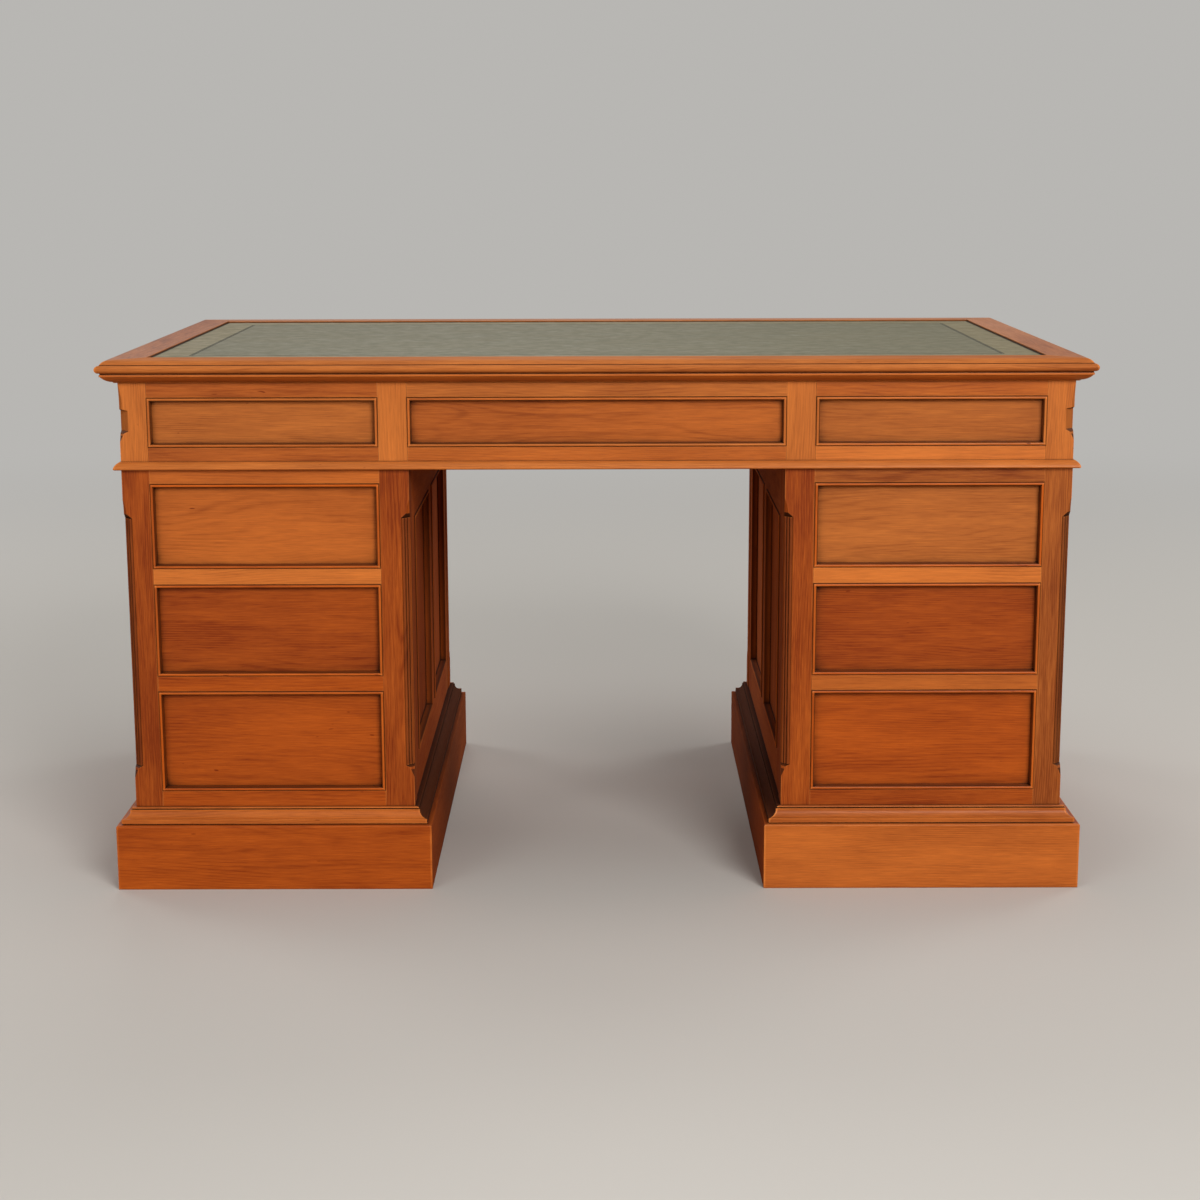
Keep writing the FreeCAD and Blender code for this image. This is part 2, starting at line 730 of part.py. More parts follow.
# ---------------------------------------------------------------------------------------------
# Screws between the top section and the pedestals
# ---------------------------------------------------------------------------------------------
def fixing_screws():
    """Countersunk screws up through each pedestal's top board into the frieze runners."""
    screws = []
    for sign in (-1, 1):
        for place in ("opening_in + runner_lap / 4", "opening_out - runner_lap / 4"):
            for y_sign in (-1, 1):
                across, along = f"{sign} * ({place})", f"{y_sign} * screw_place"
                head = sized(doc.addObject("Part::Cone", "screw_head"),
                             Radius1="screw_head", Radius2="screw_shank", Height="screw_head_height")
                moved(head, across, along, "shallow_high")
                shank = sized(doc.addObject("Part::Cylinder", "screw_shank"),
                              Radius="screw_shank", Height="screw_length - screw_head_height")
                moved(shank, across, along, "shallow_high + screw_head_height")
                screws.append(fused("fixing_screw", [head, shank]))
    node("fixing_screws", screws)
    return screws


# ---------------------------------------------------------------------------------------------
# Pedestals
# ---------------------------------------------------------------------------------------------
def pedestal(name, sign, bead, screws):
    """One pedestal: posts, rails, panels, side frames, boards, base moulding and plinth."""
    carcase_z = ("carcase_foot", "pedestal_top")
    bay = span(sign, "opening_in", "opening_out")
    centre = f"{sign} * (opening_in + opening_width / 2)"
    levels = (("rail_foot", "deep_low"), ("deep_high", "middle_low"),
              ("middle_high", "shallow_low"), ("shallow_high", "pedestal_top"))
    rails = [rail(f"{name}_rail", bay, ("-(face_y)", "-(frame_back_y)"), level, "x") for level in levels]
    blades = [blade(f"{name}_blade", bay, level) for level in levels]
    panels, beads = [], []
    for opening, low, high in PEDESTAL_OPENINGS:
        panels.append(face_panel(f"{name}_panel", bay, (low, high)))
        beads += bead_frame(f"{name}_bead", bead, -Y, (centre, "-(face_y)", f"({low} + {high}) / 2"),
                            "opening_width", f"({high} - ({low}))")

    members, side_panels = [], []
    for look, face in ((-sign, f"{sign} * (knee_face)"), (sign, f"{sign} * (end_face)")):
        frame, sheets, trim = side_frame(f"{name}_side", look, face, carcase_z, "side_low", "side_high",
                                         bead)
        members += frame
        side_panels += sheets
        beads += trim

    posts, squares = [], []
    stops = ("base_top + post_stop_foot", "base_top + post_stop_foot + lower_stop",
             "pedestal_top - post_stop_top - stop_length", "pedestal_top - post_stop_top",
             "stop_shoulder", "stop_radius")
    for y_sign in (-1, 1):
        for x_sign, across, edge in ((-sign, span(sign, "knee_x", "opening_in"), "knee_x"),
                                     (sign, span(sign, "opening_out", "face_x"), "face_x")):
            post, square = corner_post(f"{name}_post", (x_sign, y_sign), across, carcase_z,
                                       f"{sign} * ({edge})", stops, True)
            posts.append(housed(post, rails + panels if y_sign < 0 else blades))
            squares.append(square)

    node(f"{name}_posts", posts)
    node(f"{name}_panel_side_rails", [housed(item, panels) for item in rails])
    node(f"{name}_drawer_blades", blades)
    node(f"{name}_side_frames", members)
    node(f"{name}_panels", panels + side_panels)
    node(f"{name}_beads", beads)
    node(f"{name}_boards", pedestal_boards(name, sign, squares, screws))
    node(f"{name}_runners", pedestal_runners(name, sign, centre))
    across = (f"{sign} * (knee_x + face_x) / 2", "(face_x - knee_x)")
    around_carcase(f"{name}_base_moulding", base_section, "base_moulding_height", "base_fillet_reach",
                   "plinth_height", squares, across)
    plinth(name, sign, across)


def pedestal_boards(name, sign, squares, screws):
    """The board under the lowest drawer, and the top board, which the screws go through. Both are
    notched around the posts."""
    across = span(sign, "knee_back", "end_back")
    along = ("-(frame_back_y)", "blade_back_y")
    bottom = board(f"{name}_bottom_board", across, along,
                   ("deep_low - runner_height - board_thick", "deep_low - runner_height"))
    top = board(f"{name}_top_board", across, along, ("shallow_high", "pedestal_top"))
    return [housed(bottom, squares), housed(top, squares + screws)]


def pedestal_runners(name, sign, centre):
    """A runner with a side guide on each side of each drawer, and the drawer's stops."""
    pieces = []
    along = ("-(post_y)", "blade_back_y")
    for opening, low, high in PEDESTAL_OPENINGS:
        under = (f"{low} - runner_height", low)
        beside = (low, f"{low} + guide_height")
        for lap, edge in ((("knee_back", "opening_in + runner_lap"), ("knee_back", "opening_in")),
                          (("opening_out - runner_lap", "end_back"), ("opening_out", "end_back"))):
            pieces.append(board(f"{name}_runner", span(sign, *lap), along, under))
            pieces.append(board(f"{name}_guide", span(sign, *edge), along, beside))
        pieces += stop_blocks(centre, low)
    return pieces


def plinth(name, sign, across):
    """Four mitred boards around the pedestal's foot, and a glue block behind each corner."""
    section = plinth_section()
    strips = ring(f"{name}_plinth", (section, section), (across[1], "2 * (face_y)"),
                  ("0", "plinth_reach"), ("0", "plinth_height"), Z, (across[0], "0", "0"))
    blocks = []
    for low, high in (("knee_back", "knee_back + glue_block"), ("end_back - glue_block", "end_back")):
        for y_sign in (-1, 1):
            blocks.append(board(f"{name}_glue_block", span(sign, low, high),
                                span(y_sign, "post_y - glue_block", "post_y"),
                                ("carcase_foot", "rail_foot")))
    node(f"{name}_plinth", [strip for strip, outward in strips] + blocks)


# ---------------------------------------------------------------------------------------------
# Drawers
# ---------------------------------------------------------------------------------------------
def drawer_side(name, inner, thick_sign, low, high, tails):
    """A side with dovetails on its front end, padded from its inner face outwards."""
    body = doc.addObject("PartDesign::Body", name)
    height = f"({high} - ({low}))"
    root, tip = "front_back_y", "front_back_y + tail_length"
    corners = [("drawer_back_y", "0"), (root, "0")]
    for index in range(tails):
        middle = f"{height} * {2 * index + 1} / {2 * tails}"
        narrow, wide = f"{height} / {tails} / 4", f"({height} / {tails} / 4 + tail_flare)"
        corners += [(root, f"{middle} - {narrow}"), (tip, f"{middle} - {wide}"),
                    (tip, f"{middle} + {wide}"), (root, f"{middle} + {narrow}")]
    corners += [(root, height), ("drawer_back_y", height)]
    sketch = body_sketch(body, "YZ_Plane", corners)
    pad = body.newObject("PartDesign::Pad", f"{name}_pad")
    pad.Profile = sketch
    pad.Reversed = thick_sign < 0
    sized(pad, Length="drawer_side")
    return moved(body, inner, "0", low)


def drawer_knob(name, across, up):
    """A turned knob with a spigot that is glued into the drawer's front."""
    body = doc.addObject("PartDesign::Body", name)
    crown_y = "knob_length - knob_crown / 2"
    sketch = body_sketch(body, "XY_Plane", [
        ("0", "-spigot_length"),
        ("spigot_radius", "-spigot_length"),
        ("spigot_radius", "0"),
        ("knob_base", "0"),
        ("knob_base", "knob_base_height / 2"),
        ("knob_base - knob_base_height / 2", "knob_base_height", "round", "centre_y",
         "knob_base_height / 2"),
        ("knob_neck", "knob_base_height"),
        ("knob_neck + 1", "knob_length - knob_crown", "hollow", "radius", "knob_crown"),
        ("knob_radius", crown_y, "round", "radius", "knob_crown / 2 + 1"),
        ("knob_radius / 3", "knob_length", "round", "radius", "knob_radius"),
        ("0", "knob_length")])
    turned = body.newObject("PartDesign::Revolution", f"{name}_turned")
    turned.Profile = sketch
    turned.ReferenceAxis = (sketch, ["V_Axis"])
    turned.Angle = 360
    return moved(body, across, "panel_face", up)


def drawer(name, centre, width, low, high, tails, knob_places, bead):
    """Front with cock beads, dovetailed sides, back, bottom and knobs, with running room."""
    left, right = f"{centre} - {width} / 2 + drawer_gap", f"{centre} + {width} / 2 - drawer_gap"
    foot, head = f"{low} + drawer_seat", f"{high} - drawer_gap"
    side_head = f"{high} - side_drop"
    sides = [drawer_side(f"{name}_side", f"{left} + drawer_side", -1, foot, side_head, tails),
             drawer_side(f"{name}_side", f"{right} - drawer_side", 1, foot, side_head, tails)]
    inner = (f"{left} + drawer_side", f"{right} - drawer_side")
    bottom = board(f"{name}_bottom",
                   (f"{inner[0]} - bottom_groove", f"{inner[1]} + bottom_groove"),
                   ("drawer_back_y", "front_back_y + bottom_groove"),
                   (f"{foot} + bottom_rise", f"{foot} + bottom_rise + drawer_bottom"))
    back = board(f"{name}_back", inner, ("drawer_back_y", "drawer_back_y + drawer_back"),
                 (f"{foot} + bottom_rise + drawer_bottom", f"{side_head} - back_drop"))
    knobs = [drawer_knob(f"{name}_turning", f"{centre} + {place} * knob_spread", f"({low} + {high}) / 2")
             for place in knob_places]
    front = board(f"{name}_front_board", (left, right), ("front_back_y", "panel_face"), (foot, head))
    beads = bead_frame(f"{name}_bead", bead, Y, (centre, "face_y", f"({foot} + {head}) / 2"),
                       f"({width} - 2 * drawer_gap)", f"({head} - ({foot}))")
    node(f"{name}_front", [housed(front, sides + [bottom] + knobs)] + beads)
    node(f"{name}_box", [housed(side, [bottom]) for side in sides] + [bottom, back])
    node(f"{name}_knobs" if len(knobs) > 1 else f"{name}_knob", knobs)


def drawers(bead):
    """Three drawers in the frieze, and three in each pedestal."""
    for side, sign in (("left", -1), ("right", 1)):
        centre = f"{sign} * (opening_in + opening_width / 2)"
        for level, low, high in PEDESTAL_OPENINGS:
            drawer(f"{side}_{level}_drawer", centre, "opening_width", low, high, 3, (0,), bead)
        drawer(f"{side}_frieze_drawer", centre, "opening_width", "frieze_low", "frieze_high", 2, (0,), bead)
    drawer("centre_frieze_drawer", "0", "(2 * (muntin_in))", "frieze_low", "frieze_high", 2, (-1, 1), bead)


def write_parts():
    """Check every object and every sub-part, then write one STEP file for each sub-part."""
    for item in doc.Objects:
        if "Invalid" in item.State or "Error" in item.State:
            raise RuntimeError(f"{item.Name} was not built: {item.State}")
    for item in nodes:
        if item.Shape.isNull() or not item.Shape.isValid():
            raise RuntimeError(f"{item.Label} has no valid shape")
        if item.Shape.Volume <= 0 or not item.Shape.Solids:
            raise RuntimeError(f"{item.Label} holds no solid")
    os.makedirs("parts", exist_ok=True)
    for item in nodes:
        item.Shape.exportStep(f"parts/{item.Label}.step")
        print(f"{item.Label}: {len(item.Shape.Solids)} solids, {item.Shape.Volume / 1e6:.3f} litres")


def main():
    bead = bead_section()
    screws = fixing_screws()
    writing_top()
    frieze_inside(frieze(bead), screws)
    for side, sign in (("left", -1), ("right", 1)):
        pedestal(f"{side}_pedestal", sign, bead, screws)
    drawers(bead)
    doc.recompute()
    write_parts()
    print(len(nodes), "nodes")


main()
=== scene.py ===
# %% [markdown]
# # Dressing a pedestal desk
# The desk is an old one in three parts: a top section with a leather writing surface and a
# panelled frieze, and two pedestals under it. Its construction arrives as a fixed frame, in
# metres, with every board already in its place. This lesson gives that frame its looks: eased
# arrises, polished wood whose grain runs along each board, stain and painted shade in the
# corners, tooled leather, turned knobs and slotted screws.

import json
import math
import random

import bmesh
import bpy
import numpy as np
from mathutils import Matrix, Vector


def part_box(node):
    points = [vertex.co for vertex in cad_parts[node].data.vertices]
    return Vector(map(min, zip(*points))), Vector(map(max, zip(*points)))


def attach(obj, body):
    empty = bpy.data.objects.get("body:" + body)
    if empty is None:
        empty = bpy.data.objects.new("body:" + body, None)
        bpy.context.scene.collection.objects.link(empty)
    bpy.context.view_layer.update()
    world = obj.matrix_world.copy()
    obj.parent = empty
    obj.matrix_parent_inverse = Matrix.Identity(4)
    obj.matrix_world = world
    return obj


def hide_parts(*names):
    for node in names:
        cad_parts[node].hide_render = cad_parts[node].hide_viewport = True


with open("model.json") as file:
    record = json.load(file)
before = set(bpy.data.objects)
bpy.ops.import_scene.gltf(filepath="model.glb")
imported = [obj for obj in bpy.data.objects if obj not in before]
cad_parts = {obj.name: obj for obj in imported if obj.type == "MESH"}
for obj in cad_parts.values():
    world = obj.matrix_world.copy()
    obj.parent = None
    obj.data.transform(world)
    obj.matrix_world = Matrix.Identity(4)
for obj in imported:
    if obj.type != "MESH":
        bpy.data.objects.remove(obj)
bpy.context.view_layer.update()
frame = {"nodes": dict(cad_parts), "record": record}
body_of = {node: body for body, members in frame["record"]["behaviour"]["bodies"].items()
           for node in members}
slot_of = {row["node"]: row["material_slot"] for row in frame["record"]["subparts"]}
MM = 0.001

# %% [markdown]
# ## The point of view
# A person standing a few steps in front of the panelled side looks slightly down on the desk. A
# long lens keeps the verticals nearly parallel. The turn is built from three plain angles, in
# the order in which a tripod head has them: pan, then tilt, then a very small roll.

# %% Camera
EYE = Vector((0.0071, -3.5575, 1.0679))
PAN, TILT, ROLL = (math.radians(angle) for angle in (0.0568, -11.340, -0.1526))
LENS_MM, SENSOR_MM = 66.18, 36
FARTHEST = 60

camera = bpy.data.objects.new("camera", bpy.data.cameras.new("camera"))
camera.data.lens = LENS_MM
camera.data.sensor_width = SENSOR_MM
camera.data.clip_end = FARTHEST
level = Matrix.Rotation(math.pi / 2 + TILT, 4, "X")
turned_head = Matrix.Rotation(PAN, 4, "Z") @ level @ Matrix.Rotation(ROLL, 4, "Z")
camera.matrix_world = Matrix.Translation(EYE) @ turned_head
bpy.context.scene.collection.objects.link(camera)
bpy.context.scene.camera = camera
print(f"camera {EYE.length:.2f} m from the desk's foot")

# %% [markdown]
# ## A small kit for writing node trees
# A node tree is easier to read as nested calls than as a list of links. This class adds a node,
# fills its sockets with numbers or with other nodes' outputs, and hands back the output, so a
# tree reads from the inside out, like the formula that it is.


# %% Tree kit
class Tree:
    """A node tree, written as nested calls."""

    def __init__(self, tree):
        self.tree = tree

    def add(self, kind, inputs=(), out=0, **settings):
        """A new node with its settings and inputs filled in. Gives one of its outputs."""
        node = self.tree.nodes.new(kind)
        for key, setting in settings.items():
            setattr(node, key, setting)
        for key, value in dict(inputs).items():
            self.fill(node.inputs[key], value)
        return node.outputs[out]

    def fill(self, socket, value):
        """Put a number, a colour or another node's output into a socket."""
        if isinstance(value, bpy.types.NodeSocket):
            self.tree.links.new(value, socket)
        elif hasattr(value, "__len__") and len(value) == 3 and socket.type == "RGBA":
            socket.default_value = (*value, 1)
        else:
            socket.default_value = value

    def math(self, operation, first, second=0.0, clamp=False):
        return self.add("ShaderNodeMath", {0: first, 1: second}, operation=operation, use_clamp=clamp)

    def vector(self, operation, first, second=(0, 0, 0), out=0):
        return self.add("ShaderNodeVectorMath", {0: first, 1: second}, out, operation=operation)

    def parts(self, vector):
        """The three components of a vector."""
        node = self.add("ShaderNodeSeparateXYZ", {0: vector}).node
        return node.outputs[0], node.outputs[1], node.outputs[2]

    def span(self, value, low, high, to_low=0.0, to_high=1.0):
        """Map the range low to high onto another range, and hold it there."""
        return self.add("ShaderNodeMapRange", {"Value": value, "From Min": low, "From Max": high,
                                               "To Min": to_low, "To Max": to_high})


print("tree kit:", ", ".join(name for name in vars(Tree) if not name.startswith("_")))

# %% [markdown]
# A recipe is the tree of a finish. It adds what finishes are mixed from: noise whose features
# are counted per metre, blends of two colours, and sums of patterns that swing around a half.


# %% Recipe kit
class Recipe(Tree):
    """A material and its tree."""

    def __init__(self, name):
        self.material = bpy.data.materials.new(name)
        self.material.use_nodes = True
        super().__init__(self.material.node_tree)
        self.shader = self.tree.nodes["Principled BSDF"]

    def shade(self, **sockets):
        """Fill the surface shader's own sockets, whose names have underscores for spaces."""
        for key, value in sockets.items():
            self.fill(self.shader.inputs[key.replace("_", " ")], value)

    def attribute(self, name):
        return self.add("ShaderNodeAttribute", out="Vector", attribute_name=name)

    def noise(self, place, stretch, detail=2.0, roughness=0.5, out="Fac", distortion=0.0):
        """Noise with stretch[i] features per metre along axis i of place."""
        scaled = self.vector("MULTIPLY", place, stretch)
        return self.add("ShaderNodeTexNoise", {"Vector": scaled, "Scale": 1.0, "Detail": detail,
                                               "Roughness": roughness, "Distortion": distortion}, out)

    def blend(self, factor, first, second):
        """Mix two colours."""
        node = self.add("ShaderNodeMix", data_type="RGBA").node
        for index, value in ((0, factor), (6, first), (7, second)):
            self.fill(node.inputs[index], value)
        return node.outputs[2]

    def total(self, weights, patterns):
        """The weighted sum of patterns that each swing around a half."""
        whole = 0.0
        for name, weight in weights.items():
            swing = self.math("SUBTRACT", patterns[name], 0.5)
            whole = self.math("ADD", whole, self.math("MULTIPLY", swing, weight))
        return whole

    def bump(self, height, depth):
        return self.add("ShaderNodeBump", {"Height": height, "Distance": depth, "Strength": 1.0})


print("recipe kit adds:", ", ".join(name for name in vars(Recipe) if not name.startswith("_")))

# %% [markdown]
# ## Polished wood
# The boards are a close-grained reddish hardwood under old shellac and wax. One recipe paints all
# of them, so that they belong together, and reads values that each board brings with it. "grain"
# is the place within the board, with x along its fibres, so the figure runs the right way on
# every board and goes through it like real wood.
#
# Wood has patterns of many sizes: slow figure, bands, yearly rings around the heart of the tree,
# streaks, fibres, and pores that hold dark polish. Rings are a sine of the distance from the
# heart, bent by slow noise. The others are noise that is stretched along the fibres.

# %% Figure of the wood
# Features per metre along the fibres and both ways across them, then detail and roughness.
DRIFT = ((1.6, 9, 9), 2.0)
FIGURE = ((2.5, 9, 9), 1.0, 0.5)
BANDS = ((7, 42, 42), 2.0, 0.5)
STREAKS = ((11, 170, 170), 3.0, 0.6)
FIBRES = ((30, 750, 750), 2.0, 0.6)
PORES = ((60, 2400, 2400), 1.0)
MARKS = ((60, 260, 260), 0.0)
RING_SPACING = 3.4 * MM
RING_BEND = (0.0, 0.06, 0.06)
RING_SHARPNESS = 3.0
STREAK_WAVER = 0.3
# Where in its noise a band, a pore and a mark start, and where they are full.
BAND_RISE, PORE_RISE, MARK_RISE = (0.35, 0.65), (0.60, 0.70), (0.88, 0.92)


def wood_figure(wood, place):
    """What a board's own growth does to its colour: slow figure, rings, fibres and pores."""
    drift = wood.noise(place, *DRIFT, out="Color")
    bent = wood.vector("ADD", place, wood.vector("MULTIPLY", drift, RING_BEND))
    from_heart = wood.vector("LENGTH", wood.vector("MULTIPLY", bent, (0, 1, 1)), out="Value")
    waves = wood.math("SINE", wood.math("MULTIPLY", from_heart, 2 * math.pi / RING_SPACING))
    rings = wood.math("POWER", wood.span(waves, -1, 1), RING_SHARPNESS)
    bands = wood.noise(place, *BANDS)
    return {"figure": wood.noise(place, *FIGURE),
            "rings": wood.math("MULTIPLY", rings, wood.span(bands, *BAND_RISE)),
            "bands": bands,
            "streaks": wood.noise(place, *STREAKS, distortion=STREAK_WAVER),
            "fibres": wood.noise(place, *FIBRES),
            "pores": wood.span(wood.noise(place, *PORES), *PORE_RISE),
            "marks": wood.span(wood.noise(place, *MARKS), *MARK_RISE)}


print(f"rings {RING_SPACING / MM:.1f} mm apart, fibres {1000 / FIBRES[0][1]:.1f} mm")

# %% [markdown]
# Stain and dirt stay where a cloth can't reach, and shade falls in the same corners, so both are
# painted there. Painting them by hand would tie them to one view, so an ambient occlusion node
# finds the corners: once close by, for the fine dark line at a bead's foot, and once from further
# off, for the soft pool around it. Both are stain and painted shade. What faces down is darkened
# too, with painted shade. The flat of a panel gets stain and painted shade along its edges, which
# is measured from "field", the place on the panel, and "field_half", half of its size.

# %% Where stain and painted shade gather
CORNER_SAMPLES = 6
PATCHES, PATCH_RISE = ((20, 45, 45), 3.0, 0.6), (0.3, 0.7)
LINE_REACH, POOL_REACH = 2.3 * MM, 10 * MM
POOL_OPEN = (0.80, 0.25)
POOL_SHARES = (0.15, 0.5)
# Faces that turn down are darkened with painted shade.
UNDERSIDE = (-0.15, -0.95)
UNDERSIDE_SHADE = 0.30
# A panel's flat is darkened along its edges and most at its corners: stain and painted shade.
EDGE_FADE, EDGE_STAIN_AND_SHADE = 2.0 * MM, 0.06
HAZE_FADE, HAZE_STAIN_AND_SHADE = 10 * MM, 0.16
MITRE_FADE, MITRE_STAIN_AND_SHADE = 13 * MM, 0.44
HAZE_SHARES = (0.2, 1.4)


def openness(wood, reach, inside=False):
    """How open a place is within a reach, from 0 to 1."""
    return wood.add("ShaderNodeAmbientOcclusion", {"Distance": reach}, "AO", samples=CORNER_SAMPLES,
                    inside=inside)


def panel_stain_and_shade(wood):
    """Stain and painted shade that fade inwards from a panel's edges, and from its corners most of all."""
    here, there, _ = wood.parts(wood.attribute("field"))
    half_here, half_there, _ = wood.parts(wood.attribute("field_half"))
    inwards = [wood.math("SUBTRACT", half, wood.math("ABSOLUTE", place_on))
               for place_on, half in ((here, half_here), (there, half_there))]
    from_corner = wood.math("ADD", *inwards)
    haze = 0.0
    for distance, fade, weight in ((inwards[0], EDGE_FADE, EDGE_STAIN_AND_SHADE), (inwards[1], EDGE_FADE, EDGE_STAIN_AND_SHADE),
                                   (inwards[0], HAZE_FADE, HAZE_STAIN_AND_SHADE), (inwards[1], HAZE_FADE, HAZE_STAIN_AND_SHADE),
                                   (from_corner, MITRE_FADE, MITRE_STAIN_AND_SHADE)):
        shade = wood.math("EXPONENT", wood.math("DIVIDE", distance, -fade))
        haze = wood.math("ADD", haze, wood.math("MULTIPLY", shade, weight))
    return haze


def stain_and_painted_shade(wood, place, on_field, corner, line_weight):
    """How much dark stain and painted shade there is, from 0 to 1. Its fine lines start in recesses
    that are open by less than corner[0], and are full at corner[1]."""
    patchy = wood.noise(place, *PATCHES)
    # The fine line and the soft pool darken recesses with stain and painted shade.
    line = wood.math("MULTIPLY", wood.span(openness(wood, LINE_REACH), *corner), line_weight)
    pool = wood.math("MULTIPLY", wood.span(openness(wood, POOL_REACH), *POOL_OPEN),
                     wood.span(patchy, *PATCH_RISE, *POOL_SHARES))
    # What faces down gets painted shade.
    _, _, upwards = wood.parts(wood.add("ShaderNodeNewGeometry", out="Normal"))
    underside_shade = wood.math("MULTIPLY", wood.span(upwards, *UNDERSIDE), UNDERSIDE_SHADE)
    patches = wood.math("MULTIPLY", on_field, wood.span(patchy, *PATCH_RISE, *HAZE_SHARES))
    haze = wood.math("MULTIPLY", panel_stain_and_shade(wood), patches)
    gathered = wood.math("MAXIMUM", wood.math("MAXIMUM", line, pool), underside_shade)
    return wood.math("ADD", gathered, haze, clamp=True)


print(f"stain gathers within {LINE_REACH / MM:.1f} and {POOL_REACH / MM:.0f} mm of a corner")

# %% [markdown]
# Sleeves and dusters rub the arrises through to paler wood. The same occlusion node finds them
# when it looks inwards: near an arris there is little wood around a point. Noise breaks the wear
# up, because nobody rubs an edge evenly.

# %% Where edges are rubbed
WEAR_REACH = 2.2 * MM
WEAR_OPEN = (0.92, 0.55)
WEAR_PATCHES, WEAR_RISE = ((12, 30, 30), 2.0), (0.35, 0.65)
WEAR_SHARES = (0.2, 1.0)


def rubbed_edges(wood, place):
    """How much an arris is rubbed through to paler wood, from 0 to 1."""
    worn = wood.span(openness(wood, WEAR_REACH, inside=True), *WEAR_OPEN)
    patchy = wood.noise(place, *WEAR_PATCHES)
    return wood.math("MULTIPLY", worn, wood.span(patchy, *WEAR_RISE, *WEAR_SHARES))


print(f"arrises are rubbed for {WEAR_REACH / MM:.1f} mm")

# %% [markdown]
# The recipe puts these together. "tone" says how deep, how red and how lively a board's colour
# is, because no two boards took the stain alike. "care" says how dry it is, how much painted
# shade it has, and whether it is a panel's flat. Polish is a thin coat, which is missing where
# the wood is dry.

# %% Wood recipe
# The dark colour of both stain and painted shade.
STAIN_SHADE_COLOUR = (0.050, 0.011, 0.002)
PALEST = 0.18
SHADES = {"figure": 0.46, "rings": 0.18, "bands": 0.34, "streaks": 0.34, "fibres": 0.68}
SHEENS = {"fibres": 0.10, "figure": 0.14, "streaks": 0.10}
PORE_DARKNESS = 0.14
WAVES = ((6, 22, 22), 2.0)
PORE_DEPTH, FIBRE_HEIGHT, RELIEF = 0.10, 0.05, 0.35 * MM
RUBBED, RUBBED_PALER = 0.40, 1.15
DRY_ROUGHNESS = 0.62


def wood_colour(wood, growth, pale, deep, red_pale, red_deep):
    """A board's own colour: its depth moves with its growth, between pale and deep."""
    depth, redness, liveliness = wood.parts(wood.attribute("tone"))
    shift = wood.math("MULTIPLY", wood.total(SHADES, growth), liveliness)
    flecks = wood.math("ADD", wood.math("MULTIPLY", growth["pores"], PORE_DARKNESS), growth["marks"])
    depth = wood.math("ADD", wood.math("ADD", depth, shift), flecks)
    depth = wood.add("ShaderNodeMapRange", {"Value": depth, "To Min": PALEST}, clamp=False)
    return wood.blend(redness, wood.blend(depth, pale, deep), wood.blend(depth, red_pale, red_deep))


def wood_recipe(name, pale, deep, red_pale, red_deep, roughness=0.40, coat=0.05, wear_and_shade=1.0,
                corner=(0.88, 0.56), line_weight=0.70):
    """Polished wood between a pale and a deep colour, each with a redder twin."""
    wood = Recipe(name)
    place = wood.attribute("grain")
    growth = wood_figure(wood, place)
    colour = wood_colour(wood, growth, pale, deep, red_pale, red_deep)
    dryness, painted_shade, on_field = wood.parts(wood.attribute("care"))
    if wear_and_shade:
        # Stain and painted shade in corners, on undersides and along panel edges, plus the painted shade
        # that care carries.
        gathered = wood.math("MULTIPLY", stain_and_painted_shade(wood, place, on_field, corner, line_weight), wear_and_shade)
        stain = wood.math("ADD", gathered, painted_shade, clamp=True)
        worn = wood.math("MULTIPLY", rubbed_edges(wood, place), RUBBED * wear_and_shade)
        colour = wood.blend(worn, colour, [min(1, channel * RUBBED_PALER) for channel in pale])
        colour = wood.blend(stain, colour, STAIN_SHADE_COLOUR)
    wavy = wood.noise(place, *WAVES)
    pitted = wood.math("SUBTRACT", wavy, wood.math("MULTIPLY", growth["pores"], PORE_DEPTH))
    surface = wood.math("ADD", wood.math("MULTIPLY", growth["fibres"], FIBRE_HEIGHT), pitted)
    rough = wood.math("ADD", wood.math("MULTIPLY", dryness, DRY_ROUGHNESS),
                      wood.math("ADD", wood.total(SHEENS, growth), roughness))
    polish = wood.math("MULTIPLY", wood.math("SUBTRACT", 1.0, dryness), coat)
    wood.shade(Base_Color=colour, Roughness=rough, Normal=wood.bump(surface, RELIEF),
               Coat_Weight=polish, Coat_Roughness=0.22, Specular_IOR_Level=0.16)
    return wood.material


print("wood recipe: colour from", ", ".join(SHADES))

# %% [markdown]
# The record names a handful of finishes. The carcase and the panels share one look and differ in
# tone. The mouldings and the top's own frame get more stain and painted shade, because every
# hollow of their profiles gathers both. The knobs are darker and glossier. What is inside was
# never stained: it is plain, pale and dry.

# %% Wood finishes
TAN = dict(pale=(0.800, 0.274, 0.060), deep=(0.220, 0.050, 0.010),
           red_pale=(0.790, 0.168, 0.014), red_deep=(0.220, 0.027, 0.002))
BARE = dict(pale=(0.680, 0.430, 0.210), deep=(0.380, 0.200, 0.080),
            red_pale=(0.620, 0.350, 0.160), red_deep=(0.330, 0.150, 0.060))

finishes = {slot: wood_recipe(slot, **TAN) for slot in ("frame_wood", "muntin_wood", "panel_wood")}
finishes["moulding_wood"] = wood_recipe("moulding_wood", **TAN, wear_and_shade=1.3, corner=(0.98, 0.74),
                                        line_weight=0.85)
finishes["top_frame"] = wood_recipe("top_frame_wood", **TAN, wear_and_shade=1.2, corner=(0.97, 0.70),
                                    line_weight=0.90)
finishes["knob_wood"] = wood_recipe("knob_wood", **TAN, roughness=0.34, coat=0.25, wear_and_shade=0.25)
finishes["drawer_lining"] = wood_recipe("drawer_lining", **BARE, roughness=0.63, coat=0.0, wear_and_shade=0)
finishes["inner_wood"] = wood_recipe("inner_wood", **BARE, roughness=0.78, coat=0.0, wear_and_shade=0)
print("wood finishes:", ", ".join(finishes))

